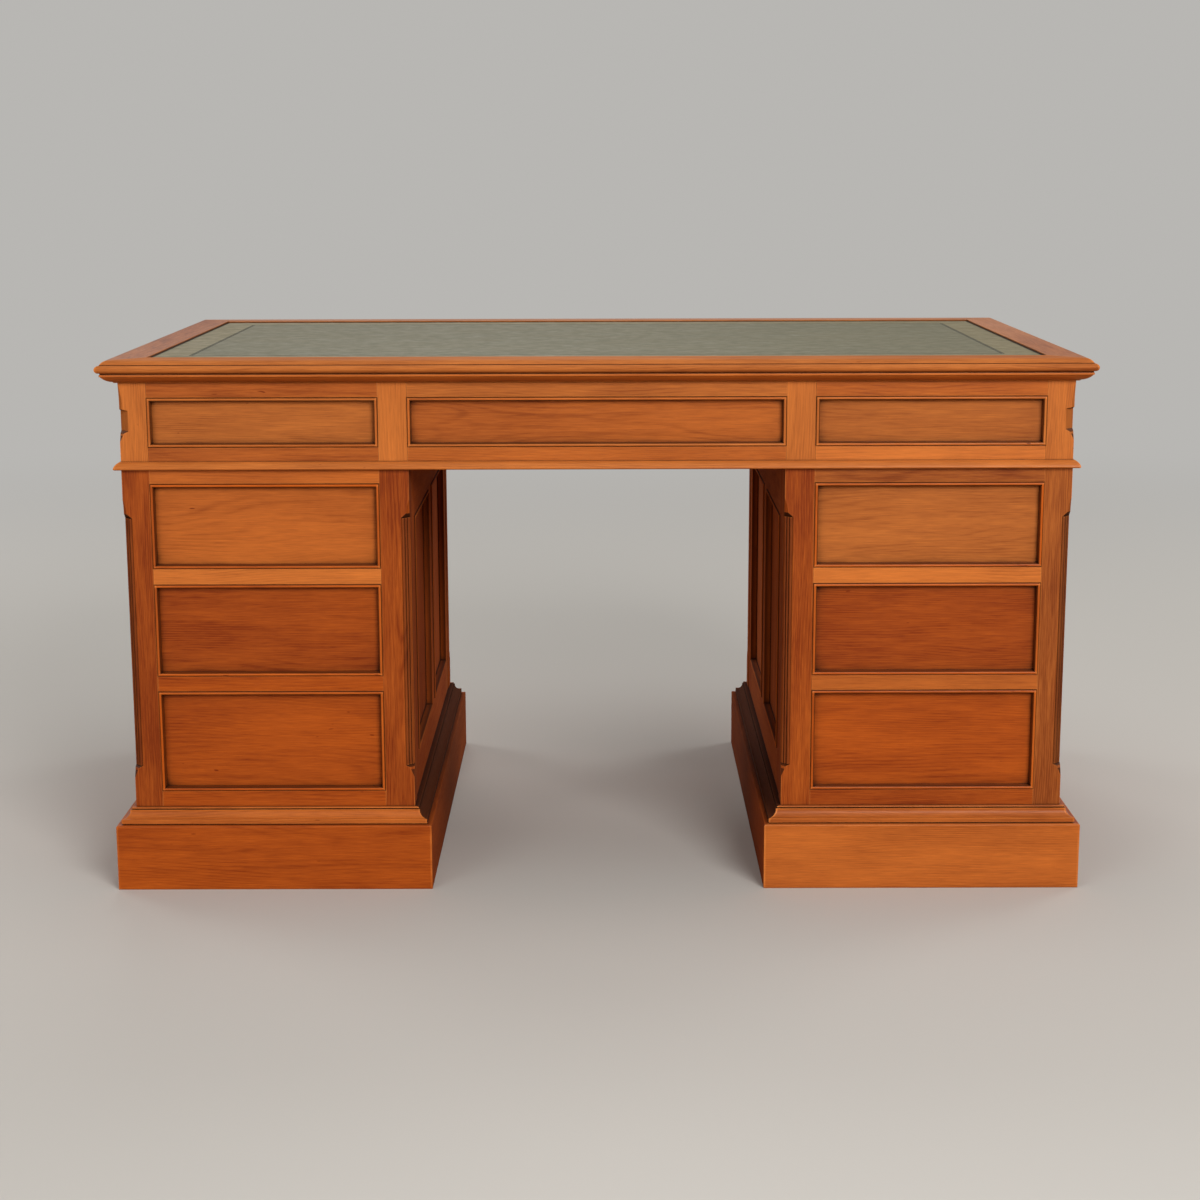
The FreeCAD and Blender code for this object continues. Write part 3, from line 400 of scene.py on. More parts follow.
# %% [markdown]
# ## From loose triangles to boards
# A node's mesh arrives as loose triangles, one solid after another. Merging by distance alone
# would weld two boards together where they touch, so the solids are told apart first: a solid is
# complete as soon as every edge of its triangles has met its partner, going the other way.


# %% Solids of a node
def solids_of(node):
    """Each solid of a node, as its corner points and its triangles."""
    mesh = frame["nodes"][node].data
    numbers = np.empty(len(mesh.vertices) * 3, np.float32)
    mesh.vertices.foreach_get("co", numbers)
    places = [tuple(place) for place in np.round(numbers.reshape(-1, 3).astype(float), 6)]
    indices = np.empty(len(mesh.loops), np.int32)
    mesh.loops.foreach_get("vertex_index", indices)
    solids, triangles, waiting = [], [], set()
    for triangle in indices.reshape(-1, 3):
        points = [places[index] for index in triangle]
        triangles.append(points)
        for start, end in zip(points, points[1:] + points[:1]):
            if (end, start) in waiting:
                waiting.remove((end, start))
            else:
                waiting.add((start, end))
        if not waiting:
            corners = {point: number for number, point in
                       enumerate(dict.fromkeys(point for points in triangles for point in points))}
            solids.append((list(corners), [[corners[point] for point in points]
                                           for points in triangles]))
            triangles = []
    return solids


def boxes_of(solids):
    """The low and high corner of each solid's box."""
    return [(np.min(corners, axis=0), np.max(corners, axis=0)) for corners, _ in solids]


print("top_frame:", len(solids_of("top_frame")), "boards")

# %% [markdown]
# ## Easing the arrises
# No cabinet maker leaves a knife edge: each arris gets a few strokes of a plane or of glass
# paper, and a hundred years of dusting do the rest. That small round is what catches the light
# along every edge, and where two boards meet, the two rounds make the fine dark line of a joint.
# Coplanar triangles are merged into whole faces first, so that only real arrises are bevelled.

# %% Eased boards
FLAT = math.radians(0.6)
ARRIS = math.radians(28)
ROUND_STEPS, ROUND_FULLNESS = 2, 0.6


def eased_board(corners, triangles, ease, halved=False):
    """One solid with clean faces and rounded arrises, as its points and its faces. A halved one
    has points across its middle too, for a colour that changes along the board."""
    board = bmesh.new()
    points = [board.verts.new(corner) for corner in corners]
    for triangle in triangles:
        board.faces.new([points[index] for index in triangle])
    bmesh.ops.dissolve_limit(board, angle_limit=FLAT, verts=board.verts, edges=board.edges)
    if halved:
        bmesh.ops.bisect_plane(board, geom=board.verts[:] + board.edges[:] + board.faces[:],
                               plane_co=(0, 0, 0), plane_no=(0, 1, 0))
    arrises = [edge for edge in board.edges
               if len(edge.link_faces) == 2 and edge.calc_face_angle() > ARRIS]
    bmesh.ops.bevel(board, geom=arrises, offset=ease, offset_type="OFFSET", segments=ROUND_STEPS,
                    profile=ROUND_FULLNESS, clamp_overlap=True, affect="EDGES")
    board.verts.index_update()
    places = np.array([point.co for point in board.verts])
    faces = [[point.index for point in face.verts] for face in board.faces]
    board.free()
    return places, faces


places, faces = eased_board(*solids_of("top_frame")[0], 0.6 * MM)
print(f"a top frame board: {len(places)} points, {len(faces)} faces")

# %% [markdown]
# ## Tones
# Whoever made this desk took boards from more than one plank, and they have faded differently
# since. Ten tones, mixed like stains in pots, cover what tells the boards apart: each has a
# depth, from 0, pale, to 1, deep, and a redness. The list gives each board of the panelled side
# its tone: those of the frieze from left to right, those of a pedestal from the floor up. Each
# pedestal has one pale rail, over its middle panel, which makes the side lively.

# %% Tones of the panelled side
# The depth and the redness of each tone, from the palest to the darkest.
TONES = {"honey": (0.20, 0.30), "straw": (0.40, 0.20), "amber": (0.45, 0.45), "tan": (0.55, 0.10),
         "copper": (0.60, 0.40), "russet": (0.65, 0.90), "dun": (0.70, 0.10),
         "chestnut": (0.80, 0.80), "umber": (0.85, 0.15), "walnut": (0.90, 0.70)}
FACE_TONES = {
    "frieze_panels": "tan copper dun",
    "frieze_posts": "straw straw",
    "frieze_muntins": "straw straw",
    "frieze_rails": "copper copper honey copper tan copper",
    "left_pedestal_panels": "russet chestnut amber",
    "right_pedestal_panels": "russet chestnut tan",
    "left_pedestal_panel_side_rails": "russet russet honey amber",
    "right_pedestal_panel_side_rails": "chestnut copper honey umber",
    "left_pedestal_posts": "walnut walnut",
    "right_pedestal_posts": "walnut umber",
    "left_pedestal_plinth": "russet",
    "right_pedestal_plinth": "amber",
    "left_pedestal_base_moulding": "amber",
    "right_pedestal_base_moulding": "copper",
    "waist_moulding": "straw",
    "top_frame": "tan",
    "cornice_moulding": "amber",
}
FRONT_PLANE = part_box("frieze_panels")[0][1] + 20 * MM
POST_WIDTH = 40 * MM


def face_tones(node, boxes):
    """Depth and redness of the boards of a node that make up the panelled side, by number."""
    members = [number for number, (low, high) in enumerate(boxes)
               if low[1] < FRONT_PLANE and high[1] < FRONT_PLANE + POST_WIDTH]
    rising = "rails" in node or node.endswith("pedestal_panels")
    members.sort(key=lambda number: (rising and round(boxes[number][0][2], 3), boxes[number][0][0]))
    names = FACE_TONES.get(node, "").split()
    return {number: TONES[name] for number, name in zip(members, names)}


print(sum(len(names.split()) for names in FACE_TONES.values()), "boards have tones of their own")

# %% [markdown]
# All other boards draw theirs around what is usual for their kind, from dice that are seeded
# with their node's name, so the desk comes out the same each time. Redness goes by height: the
# pedestals are the reddest and the top the least red. The less red colour of the upper boards is
# partly a painted sheen.

# %% Usual tones
USUAL_DEPTHS = {"top_frame": 0.74, "cornice": 0.60, "waist": 0.38, "base_moulding": 0.62, "plinth": 0.68,
                "beads": 0.50, "panels": 0.68, "front": 0.66, "box": 0.45, "runners": 0.50,
                "boards": 0.50, "top_board": 0.50}
USUAL_DEPTH = 0.70
TOP_REDNESS, UPPER_REDNESS, LOWER_REDNESS = 0.0, 0.30, 0.90
DEPTH_VARIES, REDNESS_VARIES = 0.1, 0.15
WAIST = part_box("waist_moulding")[0][2] - 1 * MM
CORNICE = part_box("cornice_moulding")[0][2] - 1 * MM


def drawn_tone(node, low, dice):
    """Depth and redness for any other board, around those that are usual for its place."""
    depth = next((depth for word, depth in USUAL_DEPTHS.items() if word in node), USUAL_DEPTH)
    redness = TOP_REDNESS if low[2] > CORNICE else UPPER_REDNESS if low[2] > WAIST else LOWER_REDNESS
    return (depth + dice.uniform(-DEPTH_VARIES, DEPTH_VARIES),
            redness + dice.uniform(-REDNESS_VARIES, REDNESS_VARIES))


print(f"redness changes at {WAIST:.3f} and {CORNICE:.3f} m")

# %% [markdown]
# ## The place within a board
# Boards are cut along the fibres, so the grain's x runs along a board's longest side. The other
# two are measured from a heart of the tree that lies a little outside the board, in a direction
# that the dice choose: that is how real boards get cathedral figure on one face and straight
# lines on the next. A shift along the tree keeps two boards from looking alike.

# %% Grain and field
HEART_NEAR, HEART_FAR = 35 * MM, 120 * MM
TREE_LENGTH = 40
TONGUE = 6 * MM
BEAD = 5.3 * MM
SHEET_WIDTH = 30 * MM


def grain_of(places, low, high, dice):
    """The place within the board, along its fibres and across them from the tree's heart."""
    along = int(np.argmax(high - low))
    first, second = (along + 1) % 3, (along + 2) % 3
    middle = (low + high) / 2
    bearing = dice.uniform(0, 2 * math.pi)
    reach = dice.uniform(HEART_NEAR, HEART_FAR)
    return np.column_stack([places[:, along] + dice.uniform(-TREE_LENGTH, TREE_LENGTH),
                            places[:, first] - middle[first] + reach * math.cos(bearing),
                            places[:, second] - middle[second] + reach * math.sin(bearing)])


def field_of(node, places, low, high):
    """The place on a panel's visible flat, and half of its size, or a far edge elsewhere."""
    size = high - low
    is_sheet = np.sort(size)[1] > SHEET_WIDTH and ("panels" in node or "front" in node)
    if not is_sheet:
        return np.zeros_like(places), np.ones_like(places)
    hidden = BEAD + (TONGUE if "panels" in node else 0)
    first, second = [axis for axis in range(3) if axis != int(np.argmin(size))]
    middle = (low + high) / 2
    place_on = np.column_stack([places[:, first] - middle[first], places[:, second] - middle[second],
                                np.zeros(len(places))])
    half = np.array([size[first] / 2 - hidden, size[second] / 2 - hidden, 0])
    return place_on, np.tile(half, (len(places), 1))


print(f"hearts lie {HEART_NEAR / MM:.0f} to {HEART_FAR / MM:.0f} mm from their boards")

# %% [markdown]
# ## Care and painted shade
# How a board was looked after depends on where it is. Nobody polishes a kneehole, least of all
# near the floor, or a post's hollowed corner and the stops at its ends, so they are dry. The same
# places are darkened with painted shade: the kneehole, most of all near the floor, the hollowed
# corners, and the stops. Painted shade also lies at the feet of a bead's round. On the plinth's
# sides in the kneehole it is darkest in the middle and lighter at both ends. Forearms have dulled
# the polish of the top's front board.

# %% Painted shade and care
INNER_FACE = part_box("right_pedestal_posts")[0][0] + 1 * MM
KNEEHOLE_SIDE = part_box("right_pedestal_side_frames")[0][0] + 26 * MM
BASE_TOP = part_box("right_pedestal_base_moulding")[1][2] + 1 * MM
# Painted shade in the kneehole, darkest near its floor.
KNEEHOLE_SHADE, KNEEHOLE_FLOOR_SHADE, KNEEHOLE_DRYNESS = 0.28, 0.92, 0.9
# Painted shade in a post's hollowed corner, and more of it on the stops at its ends.
CORNER_SHADE, FRIEZE_CORNER_SHADE, STOP_SHADE, CORNER_DRYNESS = 0.42, 0.22, 0.85, 0.5
# The painted shade on the kneehole's plinth sides: lighter at the front, darkest in the middle, between at
# the back.
PLINTH_SHARES = (0.32, 0.82, 0.55)
FOREARM_DRYNESS = 0.6
RECESSED = 0.3 * MM
SLOPED, SIDEWAYS, SQUARE_ON = 0.3, 0.9, 0.95
FRIEZE_HAZE = 0.6
# Painted shade along the feet of a bead, where it meets the rail and the panel.
FOOT_SHADE, FOOT_FADES = 0.90, 0.7
CROWN_CLEAN, CROWN_DARK, DEEP_DOWN = 0.15 * MM, 1.0 * MM, 6 * MM


def foot_shade(places, low, high, middle):
    """Painted shade at the feet of a bead's round, and less of it deeper down, for each of its points."""
    normal = int(np.argsort(high - low)[1])
    crown = high[normal] if low[normal] + high[normal] > 2 * middle[normal] else low[normal]
    below = np.abs(places[:, normal] - crown)
    foot = np.clip((below - CROWN_CLEAN) / (CROWN_DARK - CROWN_CLEAN), 0, 1)
    deeper = np.clip((below - BEAD / 2) / DEEP_DOWN, 0, 1)
    return FOOT_SHADE * foot * (1 - FOOT_FADES * deeper)


def care_of(places, face, is_post, recessed, inside, thin):
    """Dryness, painted shade, and the weight of stain and painted shade on a sheet's flat, for one face."""
    first, second, third = (Vector(places[face[number]]) for number in (0, 1, 2))
    across = (second - first).cross(third - second).normalized()
    flat = (abs(across[thin]) > SQUARE_ON) * (FRIEZE_HAZE if first.z > WAIST else 1.0)
    # A post's stops and hollowed corners get painted shade.
    if is_post and abs(across.z) > SLOPED:
        return CORNER_DRYNESS, STOP_SHADE, flat
    if is_post and all(recessed[index] for index in face):
        return CORNER_DRYNESS, FRIEZE_CORNER_SHADE if first.z > WAIST else CORNER_SHADE, flat
    # The kneehole's faces get painted shade.
    if inside or is_post and abs(first.x) < INNER_FACE and abs(across.x) > SIDEWAYS:
        return KNEEHOLE_DRYNESS, KNEEHOLE_FLOOR_SHADE if first.z < BASE_TOP else KNEEHOLE_SHADE, flat
    return 0.0, 0.0, flat


def board_care(node, places, faces, low, high, node_middle, inside, least_dry):
    """The care for each corner of a board's faces."""
    thin = int(np.argmin(high - low))
    is_bead = ("beads" in node or "front" in node) and np.min(high - low) < BEAD + 0.1 * MM
    feet = foot_shade(places, low, high, node_middle) if is_bead else np.zeros(len(places))
    recessed = np.min(np.minimum(places - low, high - places)[:, :2], axis=1) > RECESSED
    share = np.ones(len(places))
    if inside and "plinth" in node:
        share = np.interp(places[:, 1], (low[1], 0, high[1]), PLINTH_SHARES)
    values = []
    for face in faces:
        # stain here is the painted shade of this face.
        dryness, stain, flat = care_of(places, face, "posts" in node, recessed, inside, thin)
        values += [(max(dryness, least_dry), max(stain * share[index], feet[index]), flat)
                   for index in face]
    return values


print(f"the kneehole's faces lie within {KNEEHOLE_SIDE:.3f} m of the middle")

# %% [markdown]
# ## Dressing a node
# Each finished board carries five values. "grain", "field" and "field_half" change from point to
# point. "tone" and "care" belong to the corners of faces, so they can jump at an arris. The
# finished copy stands in for the node and rides on the node's own body.

# %% Dressing
LIVELY_POSTS = 1.2
SHADING_BREAK = math.radians(50)


def add_layer(mesh, name, domain, values):
    """Three numbers for each point or each corner of a mesh, for the recipes to read."""
    layer = mesh.attributes.new(name, "FLOAT_VECTOR", domain)
    layer.data.foreach_set("vector", np.array(values, np.float32).ravel())


def finished_mesh(node, ease):
    """A node's boards with eased arrises and all the values that the recipes read."""
    dice = random.Random(node)
    solids = solids_of(node)
    boxes = boxes_of(solids)
    tones = face_tones(node, boxes)
    node_middle = (np.min(boxes, axis=(0, 1)) + np.max(boxes, axis=(0, 1))) / 2
    points, faces, tone, care = [], [], [], []
    layers = {"grain": [], "field": [], "field_half": []}
    for number, ((corners, triangles), (low, high)) in enumerate(zip(solids, boxes)):
        inside = "pedestal" in node and max(abs(low[0]), abs(high[0])) < KNEEHOLE_SIDE
        places, board_faces = eased_board(corners, triangles, ease, inside and "plinth" in node)
        faces += [[len(points) + index for index in face] for face in board_faces]
        points += places.tolist()
        drawn = drawn_tone(node, low, dice)
        liveliness = LIVELY_POSTS if "posts" in node else 1.0
        corner_count = sum(len(face) for face in board_faces)
        tone += [(*tones.get(number, drawn), liveliness)] * corner_count
        least_dry = FOREARM_DRYNESS if node == "top_frame" and number in tones else 0.0
        care += board_care(node, places, board_faces, low, high, node_middle, inside, least_dry)
        layers["grain"].append(grain_of(places, low, high, dice))
        for name, values in zip(("field", "field_half"), field_of(node, places, low, high)):
            layers[name].append(values)
    mesh = bpy.data.meshes.new(f"finished_{node}")
    mesh.from_pydata(points, [], faces)
    for name, values in layers.items():
        add_layer(mesh, name, "POINT", np.concatenate(values))
    add_layer(mesh, "tone", "CORNER", tone)
    add_layer(mesh, "care", "CORNER", care)
    return mesh


def dress(node, ease):
    """A finished copy of a node's boards, which stands for the node on its body."""
    mesh = finished_mesh(node, ease)
    mesh.materials.append(finishes.get(node, finishes[slot_of[node]]))
    mesh.shade_smooth()
    mesh.set_sharp_from_angle(angle=SHADING_BREAK)
    piece = bpy.data.objects.new(f"finished_{node}", mesh)
    bpy.context.scene.collection.objects.link(piece)
    soften = piece.modifiers.new("even shading", "WEIGHTED_NORMAL")
    soften.keep_sharp = True
    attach(piece, body_of[node])
    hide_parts(node)
    return piece


print(f"posts are {LIVELY_POSTS} times as lively as other boards")

# %% [markdown]
# ## The wooden pieces
# Everything that is wood, and isn't turned, is dressed the same way. Beads and drawer boxes keep
# crisp arrises, other boards have softer ones.

# %% Dress the wood
SOFT, CRISP = 0.7 * MM, 0.3 * MM
OTHERWISE = ("leather_inset", "fixing_screws")

wooden = [node for node in frame["nodes"] if node not in OTHERWISE and "knob" not in node]
for node in wooden:
    dress(node, CRISP if "bead" in node or "box" in node else SOFT)

# %% [markdown] ## Growing things with Geometry Nodes What is turned, repeated or runs along a
# path is grown by a node tree.


# %% Growth kit
class Growth(Tree):
    """A Geometry Nodes tree with named inputs."""

    def __init__(self, name, **inputs):
        super().__init__(bpy.data.node_groups.new(name, "GeometryNodeTree"))
        self.tree.interface.new_socket("Geometry", in_out="INPUT", socket_type="NodeSocketGeometry")
        self.tree.interface.new_socket("Geometry", in_out="OUTPUT", socket_type="NodeSocketGeometry")
        self.identifiers = {}
        kinds = {int: "NodeSocketInt", float: "NodeSocketFloat"}
        for key, value in inputs.items():
            kind = kinds.get(type(value), "NodeSocketMaterial")
            socket = self.tree.interface.new_socket(key, in_out="INPUT", socket_type=kind)
            self.identifiers[key] = socket.identifier
        self.settings = inputs
        self.input = self.tree.nodes.new("NodeGroupInput").outputs

    def close(self, geometry):
        """Real meshes with their material, into the tree's output."""
        real = self.add("GeometryNodeRealizeInstances", {0: geometry})
        painted = self.add("GeometryNodeSetMaterial", {"Geometry": real,
                                                       "Material": self.input["Material"]})
        self.tree.links.new(painted, self.tree.nodes.new("NodeGroupOutput").inputs[0])

    def grow(self, name, start):
        """Run the tree on a start mesh and give a plain object."""
        seedling = bpy.data.objects.new("seedling", start)
        bpy.context.scene.collection.objects.link(seedling)
        modifier = seedling.modifiers.new("growth", "NODES")
        modifier.node_group = self.tree
        for key, value in self.settings.items():
            modifier[self.identifiers[key]] = value
        graph = bpy.context.evaluated_depsgraph_get()
        mesh = bpy.data.meshes.new_from_object(seedling.evaluated_get(graph))
        mesh.name = name
        bpy.data.objects.remove(seedling)
        piece = bpy.data.objects.new(name, mesh)
        bpy.context.scene.collection.objects.link(piece)
        return piece


print("growth kit:", ", ".join(name for name in vars(Growth) if not name.startswith("_")))

# %% [markdown]
# ## Turned knobs
# A knob is a spindle's shape: a radius that changes along an axis. It has a spigot in the
# drawer's front, a flange on it, a hollow neck, a round crown, and a shallow dish with a button
# in the middle of its face. Its outline is written as a turner reads it, from arc to arc.

# %% Knob profile
SPIGOT, SPIGOT_RADIUS = 14 * MM, 5.5 * MM
FLANGE, FLANGE_ROUND = 12 * MM, 1.6 * MM
NECK, FILLET_ROUND, HOLLOW = 8 * MM, 1.0 * MM, 6.5 * MM
DISH_DEPTH, BUTTON = 1.2 * MM, 4.5 * MM
CROWN_SHARE = 2.2


def arc_points(centre, radius, start, end, steps):
    """Points on an arc, given as place along the axis and radius from it. Angles are in degrees."""
    return [(centre[0] + radius * math.cos(angle), centre[1] + radius * math.sin(angle))
            for angle in (math.radians(start + (end - start) * step / steps)
                          for step in range(steps + 1))]


def knob_profile(length, radius):
    """(along, radius) in metres, from the end of the spigot to the middle of the face."""
    crown = radius / CROWN_SHARE
    middle = length - crown - 0.6 * MM
    outline = [(-SPIGOT, 0.1 * MM), (-SPIGOT, SPIGOT_RADIUS), (0, SPIGOT_RADIUS), (0.02 * MM, FLANGE)]
    outline += arc_points((FLANGE_ROUND, FLANGE - FLANGE_ROUND), FLANGE_ROUND, 90, 0, 6)
    outline += [(3.3 * MM, NECK + 1.6 * MM)]
    outline += arc_points((4.3 * MM, NECK + FILLET_ROUND), FILLET_ROUND, 180, 20, 6)
    outline += arc_points((11.5 * MM, NECK + HOLLOW), HOLLOW, 235, 290, 8)
    outline += arc_points((middle, radius - crown), crown, 150, 15, 16)
    outline += [(length - 1.0 * MM, radius * 0.48), (length - DISH_DEPTH, radius * 0.34)]
    outline += arc_points((length - BUTTON, 0), BUTTON, 55, 2, 8)
    return outline


def knob_size(node):
    """Where the drawer's front is behind a node's knobs, and their length and radius."""
    low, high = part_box(node)
    front = low[1] + SPIGOT
    return front, high[1] - front, (high[2] - low[2]) / 2 - 0.1 * MM


_, knob_length, knob_radius = knob_size("left_top_drawer_knob")
print(f"a knob's outline has {len(knob_profile(knob_length, knob_radius))} points")

# %% [markdown]
# The tree does what a lathe does. It takes a line of points along the axis, each with its radius,
# and sweeps a circle along it, scaled at every point. Several lines give several knobs at once.

# %% Lathe
KNOB_SIDES = 48

lathe = Growth("lathe", Sides=KNOB_SIDES, Material=finishes["knob_wood"])
axis_line = lathe.add("GeometryNodeMeshToCurve", {0: lathe.input["Geometry"]})
radius_at = lathe.add("GeometryNodeInputNamedAttribute", {"Name": "turned_radius"}, "Attribute",
                      data_type="FLOAT")
circle = lathe.add("GeometryNodeCurvePrimitiveCircle", {"Resolution": lathe.input["Sides"],
                                                        "Radius": 1.0})
lathe.close(lathe.add("GeometryNodeCurveToMesh", {"Curve": axis_line, "Profile Curve": circle,
                                                  "Scale": radius_at, "Fill Caps": True}))
print(f"lathe with {len(lathe.tree.nodes)} nodes")

# %% [markdown]
# Each node with knobs gets new ones in the same places. Their wood is dark and red, and its
# fibres run along the axis, because a turner mounts a blank that way.

# %% Knobs in place
KNOB_TONE = (0.85, 0.7, 1.0)
GRAIN_AWAY = 0.05
WELD = 0.005 * MM


def axis_lines(middles, front, profile):
    """A line of points for each knob, with the radius that the lathe turns there."""
    start = bpy.data.meshes.new("axis lines")
    places = [(x, front + along, z) for x, z in middles for along, _ in profile]
    lines = [(first + step, first + step + 1) for first in range(0, len(places), len(profile))
             for step in range(len(profile) - 1)]
    start.from_pydata(places, lines, [])
    radii = start.attributes.new("turned_radius", "FLOAT", "POINT")
    radii.data.foreach_set("value", [radius for _ in middles for _, radius in profile])
    return start


def close_seams(mesh):
    """Merge the poles' points and turn all faces outwards."""
    shell = bmesh.new()
    shell.from_mesh(mesh)
    bmesh.ops.remove_doubles(shell, verts=shell.verts, dist=WELD)
    bmesh.ops.recalc_face_normals(shell, faces=shell.faces)
    shell.to_mesh(mesh)
    shell.free()


def turn_knobs(node):
    """Knobs with a fine profile, in the places of a node's plain ones."""
    middles = [((low[0] + high[0]) / 2, (low[2] + high[2]) / 2) for low, high in boxes_of(solids_of(node))]
    front, length, radius = knob_size(node)
    piece = lathe.grow(f"finished_{node}", axis_lines(middles, front, knob_profile(length, radius)))
    mesh = piece.data
    grain = np.array([point.co for point in mesh.vertices])[:, (1, 0, 2)]
    add_layer(mesh, "grain", "POINT", grain + GRAIN_AWAY)
    add_layer(mesh, "tone", "POINT", np.tile(KNOB_TONE, (len(grain), 1)))
    add_layer(mesh, "field", "POINT", np.zeros_like(grain))
    add_layer(mesh, "field_half", "POINT", np.ones_like(grain))
    close_seams(mesh)
    mesh.shade_smooth()
    mesh.set_sharp_from_angle(angle=SHADING_BREAK)
    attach(piece, body_of[node])
    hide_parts(node)
    return piece


knobs = [turn_knobs(node) for node in frame["nodes"] if "knob" in node]
print(f"{len(knobs)} knob pieces, {len(knobs[0].data.polygons)} faces in the first")

# %% [markdown]
# ## Slotted screws
# Four countersunk screws through each pedestal's top hold the writing top down. They are old
# steel, dull and brown in its scratches.

# %% Steel
BRIGHT_STEEL, BROWN_STEEL = (0.42, 0.40, 0.37), (0.22, 0.19, 0.16)
SCRATCHES, SCRATCH_DEPTH = ((900, 900, 120), 3.0), 0.05 * MM

steel = Recipe("steel")
scratch = steel.noise(steel.add("ShaderNodeTexCoord", out="Object"), *SCRATCHES)
steel.shade(Base_Color=steel.blend(scratch, BRIGHT_STEEL, BROWN_STEEL), Metallic=1.0,
            Roughness=steel.span(scratch, 0.2, 0.8, 0.35, 0.6), Normal=steel.bump(scratch, SCRATCH_DEPTH))
finishes["steel"] = steel.material
print(f"{len(finishes)} finishes so far")

# %% [markdown]
# One screw is modelled, head down. It is a stack of rings joined by quads. The first ring is left
# open along its middle, and the slot goes in there.

# %% One screw
HEAD, HEAD_RIM, CONE = 4.3 * MM, 0.35 * MM, 2.8 * MM
SHANK, POINT_LENGTH, TIP = 2.15 * MM, 6 * MM, 0.3 * MM
SLOT_DEPTH = 1.1 * MM
SCREW_SIDES = 24


def screw_mesh(length):
    """A countersunk screw with its head down at z = 0 and a slot cut into it."""
    screw = bmesh.new()
    rings = [(0.0, HEAD), (HEAD_RIM, HEAD), (CONE, SHANK), (length - POINT_LENGTH, SHANK), (length, TIP)]
    loops = [[screw.verts.new((radius * math.cos(turn), radius * math.sin(turn), height))
              for turn in (2 * math.pi * side / SCREW_SIDES for side in range(SCREW_SIDES))]
             for height, radius in rings]
    for lower, upper in zip(loops, loops[1:]):
        for side in range(SCREW_SIDES):
            after = (side + 1) % SCREW_SIDES
            screw.faces.new((lower[side], lower[after], upper[after], upper[side]))
    screw.faces.new(loops[-1])
    half = SCREW_SIDES // 2
    one_half, other_half = loops[0][:half], loops[0][half:]
    for cheek in (one_half, other_half):
        screw.faces.new(list(reversed(cheek)))
    slot = [one_half[0], one_half[-1], other_half[0], other_half[-1]]
    deep = [screw.verts.new(corner.co + Vector((0, 0, SLOT_DEPTH))) for corner in slot]
    screw.faces.new((deep[3], deep[2], deep[1], deep[0]))
    for first in range(4):
        second = (first + 1) % 4
        screw.faces.new((slot[first], slot[second], deep[second], deep[first]))
    bmesh.ops.recalc_face_normals(screw, faces=screw.faces)
    mesh = bpy.data.meshes.new("one screw")
    screw.to_mesh(mesh)
    screw.free()
    return mesh


screw_low, screw_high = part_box("fixing_screws")
one_screw = bpy.data.objects.new("one screw", screw_mesh(screw_high[2] - screw_low[2]))
print(f"a screw is {(screw_high[2] - screw_low[2]) / MM:.0f} mm long, {len(one_screw.data.polygons)} faces")

# %% [markdown]
# The tree puts a copy of that screw on each place, turned at random as a screwdriver left it.

# %% Screws in place
SCREW_BREAK = math.radians(30)

screwed = Growth("screws", Seed=7, Material=finishes["steel"])
model = screwed.add("GeometryNodeObjectInfo", {"Object": one_screw}, "Geometry")
turn = screwed.add("FunctionNodeRandomValue", {"Max": 2 * math.pi, "Seed": screwed.input["Seed"]}, 1,
                   data_type="FLOAT")
upright = screwed.add("ShaderNodeCombineXYZ", {"Z": turn})
screwed.close(screwed.add("GeometryNodeInstanceOnPoints", {"Points": screwed.input["Geometry"],
                                                           "Instance": model, "Rotation": upright}))
heads = bpy.data.meshes.new("screw places")
heads.from_pydata([((low[0] + high[0]) / 2, (low[1] + high[1]) / 2, low[2])
                   for low, high in boxes_of(solids_of("fixing_screws"))], [], [])
screws = screwed.grow("finished_fixing_screws", heads)
screws.data.set_sharp_from_angle(angle=SCREW_BREAK)
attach(screws, body_of["fixing_screws"])
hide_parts("fixing_screws")
print(f"{len(heads.vertices)} screws, {len(screws.data.polygons)} faces")

# %% [markdown]
# ## Leather
# The writing surface is one hide, dyed green and worn to grey where arms have rubbed it. A hot
# wheel has pressed a double line around it, three fingers from the wood. It is modelled as nested
# rings that follow one cross-section from the edge inwards, because the pressed lines are real
# grooves.

# %% Leather sheet
BORDER = 52 * MM
GROOVE_DEPTH, GROOVE_HALF = 0.35 * MM, 0.6 * MM
LINE_APART = 3.2 * MM
RIM = ((0, -0.7 * MM), (0.25 * MM, -0.2 * MM), (0.8 * MM, 0))
GROOVE = ((-1, 0), (-0.5, -0.75), (0, -1), (0.5, -0.75), (1, 0))
FLAT_FROM = BORDER + 12 * MM


def leather_section(thick):
    """(inwards, up) from the lower edge to the flat of the middle."""
    grooves = [(middle + GROOVE_HALF * across, GROOVE_DEPTH * down)
               for middle in (BORDER, BORDER + LINE_APART) for across, down in GROOVE]
    return [(0, -thick), *RIM, *grooves, (FLAT_FROM, 0)]


def leather_sheet(low, high):
    """The hide as a closed mesh."""
    sheet = bmesh.new()
    loops = []
    for inwards, rise in leather_section(high[2] - low[2]):
        height = high[2] + rise
        loops.append([sheet.verts.new(corner) for corner in (
            (low[0] + inwards, low[1] + inwards, height), (high[0] - inwards, low[1] + inwards, height),
            (high[0] - inwards, high[1] - inwards, height), (low[0] + inwards, high[1] - inwards, height))])
    for outer, inner in zip(loops, loops[1:]):
        for side in range(4):
            after = (side + 1) % 4
            sheet.faces.new((outer[side], outer[after], inner[after], inner[side]))
    sheet.faces.new(loops[-1])
    sheet.faces.new(list(reversed(loops[0])))
    mesh = bpy.data.meshes.new("finished_leather_inset")
    sheet.to_mesh(mesh)
    sheet.free()
    return mesh


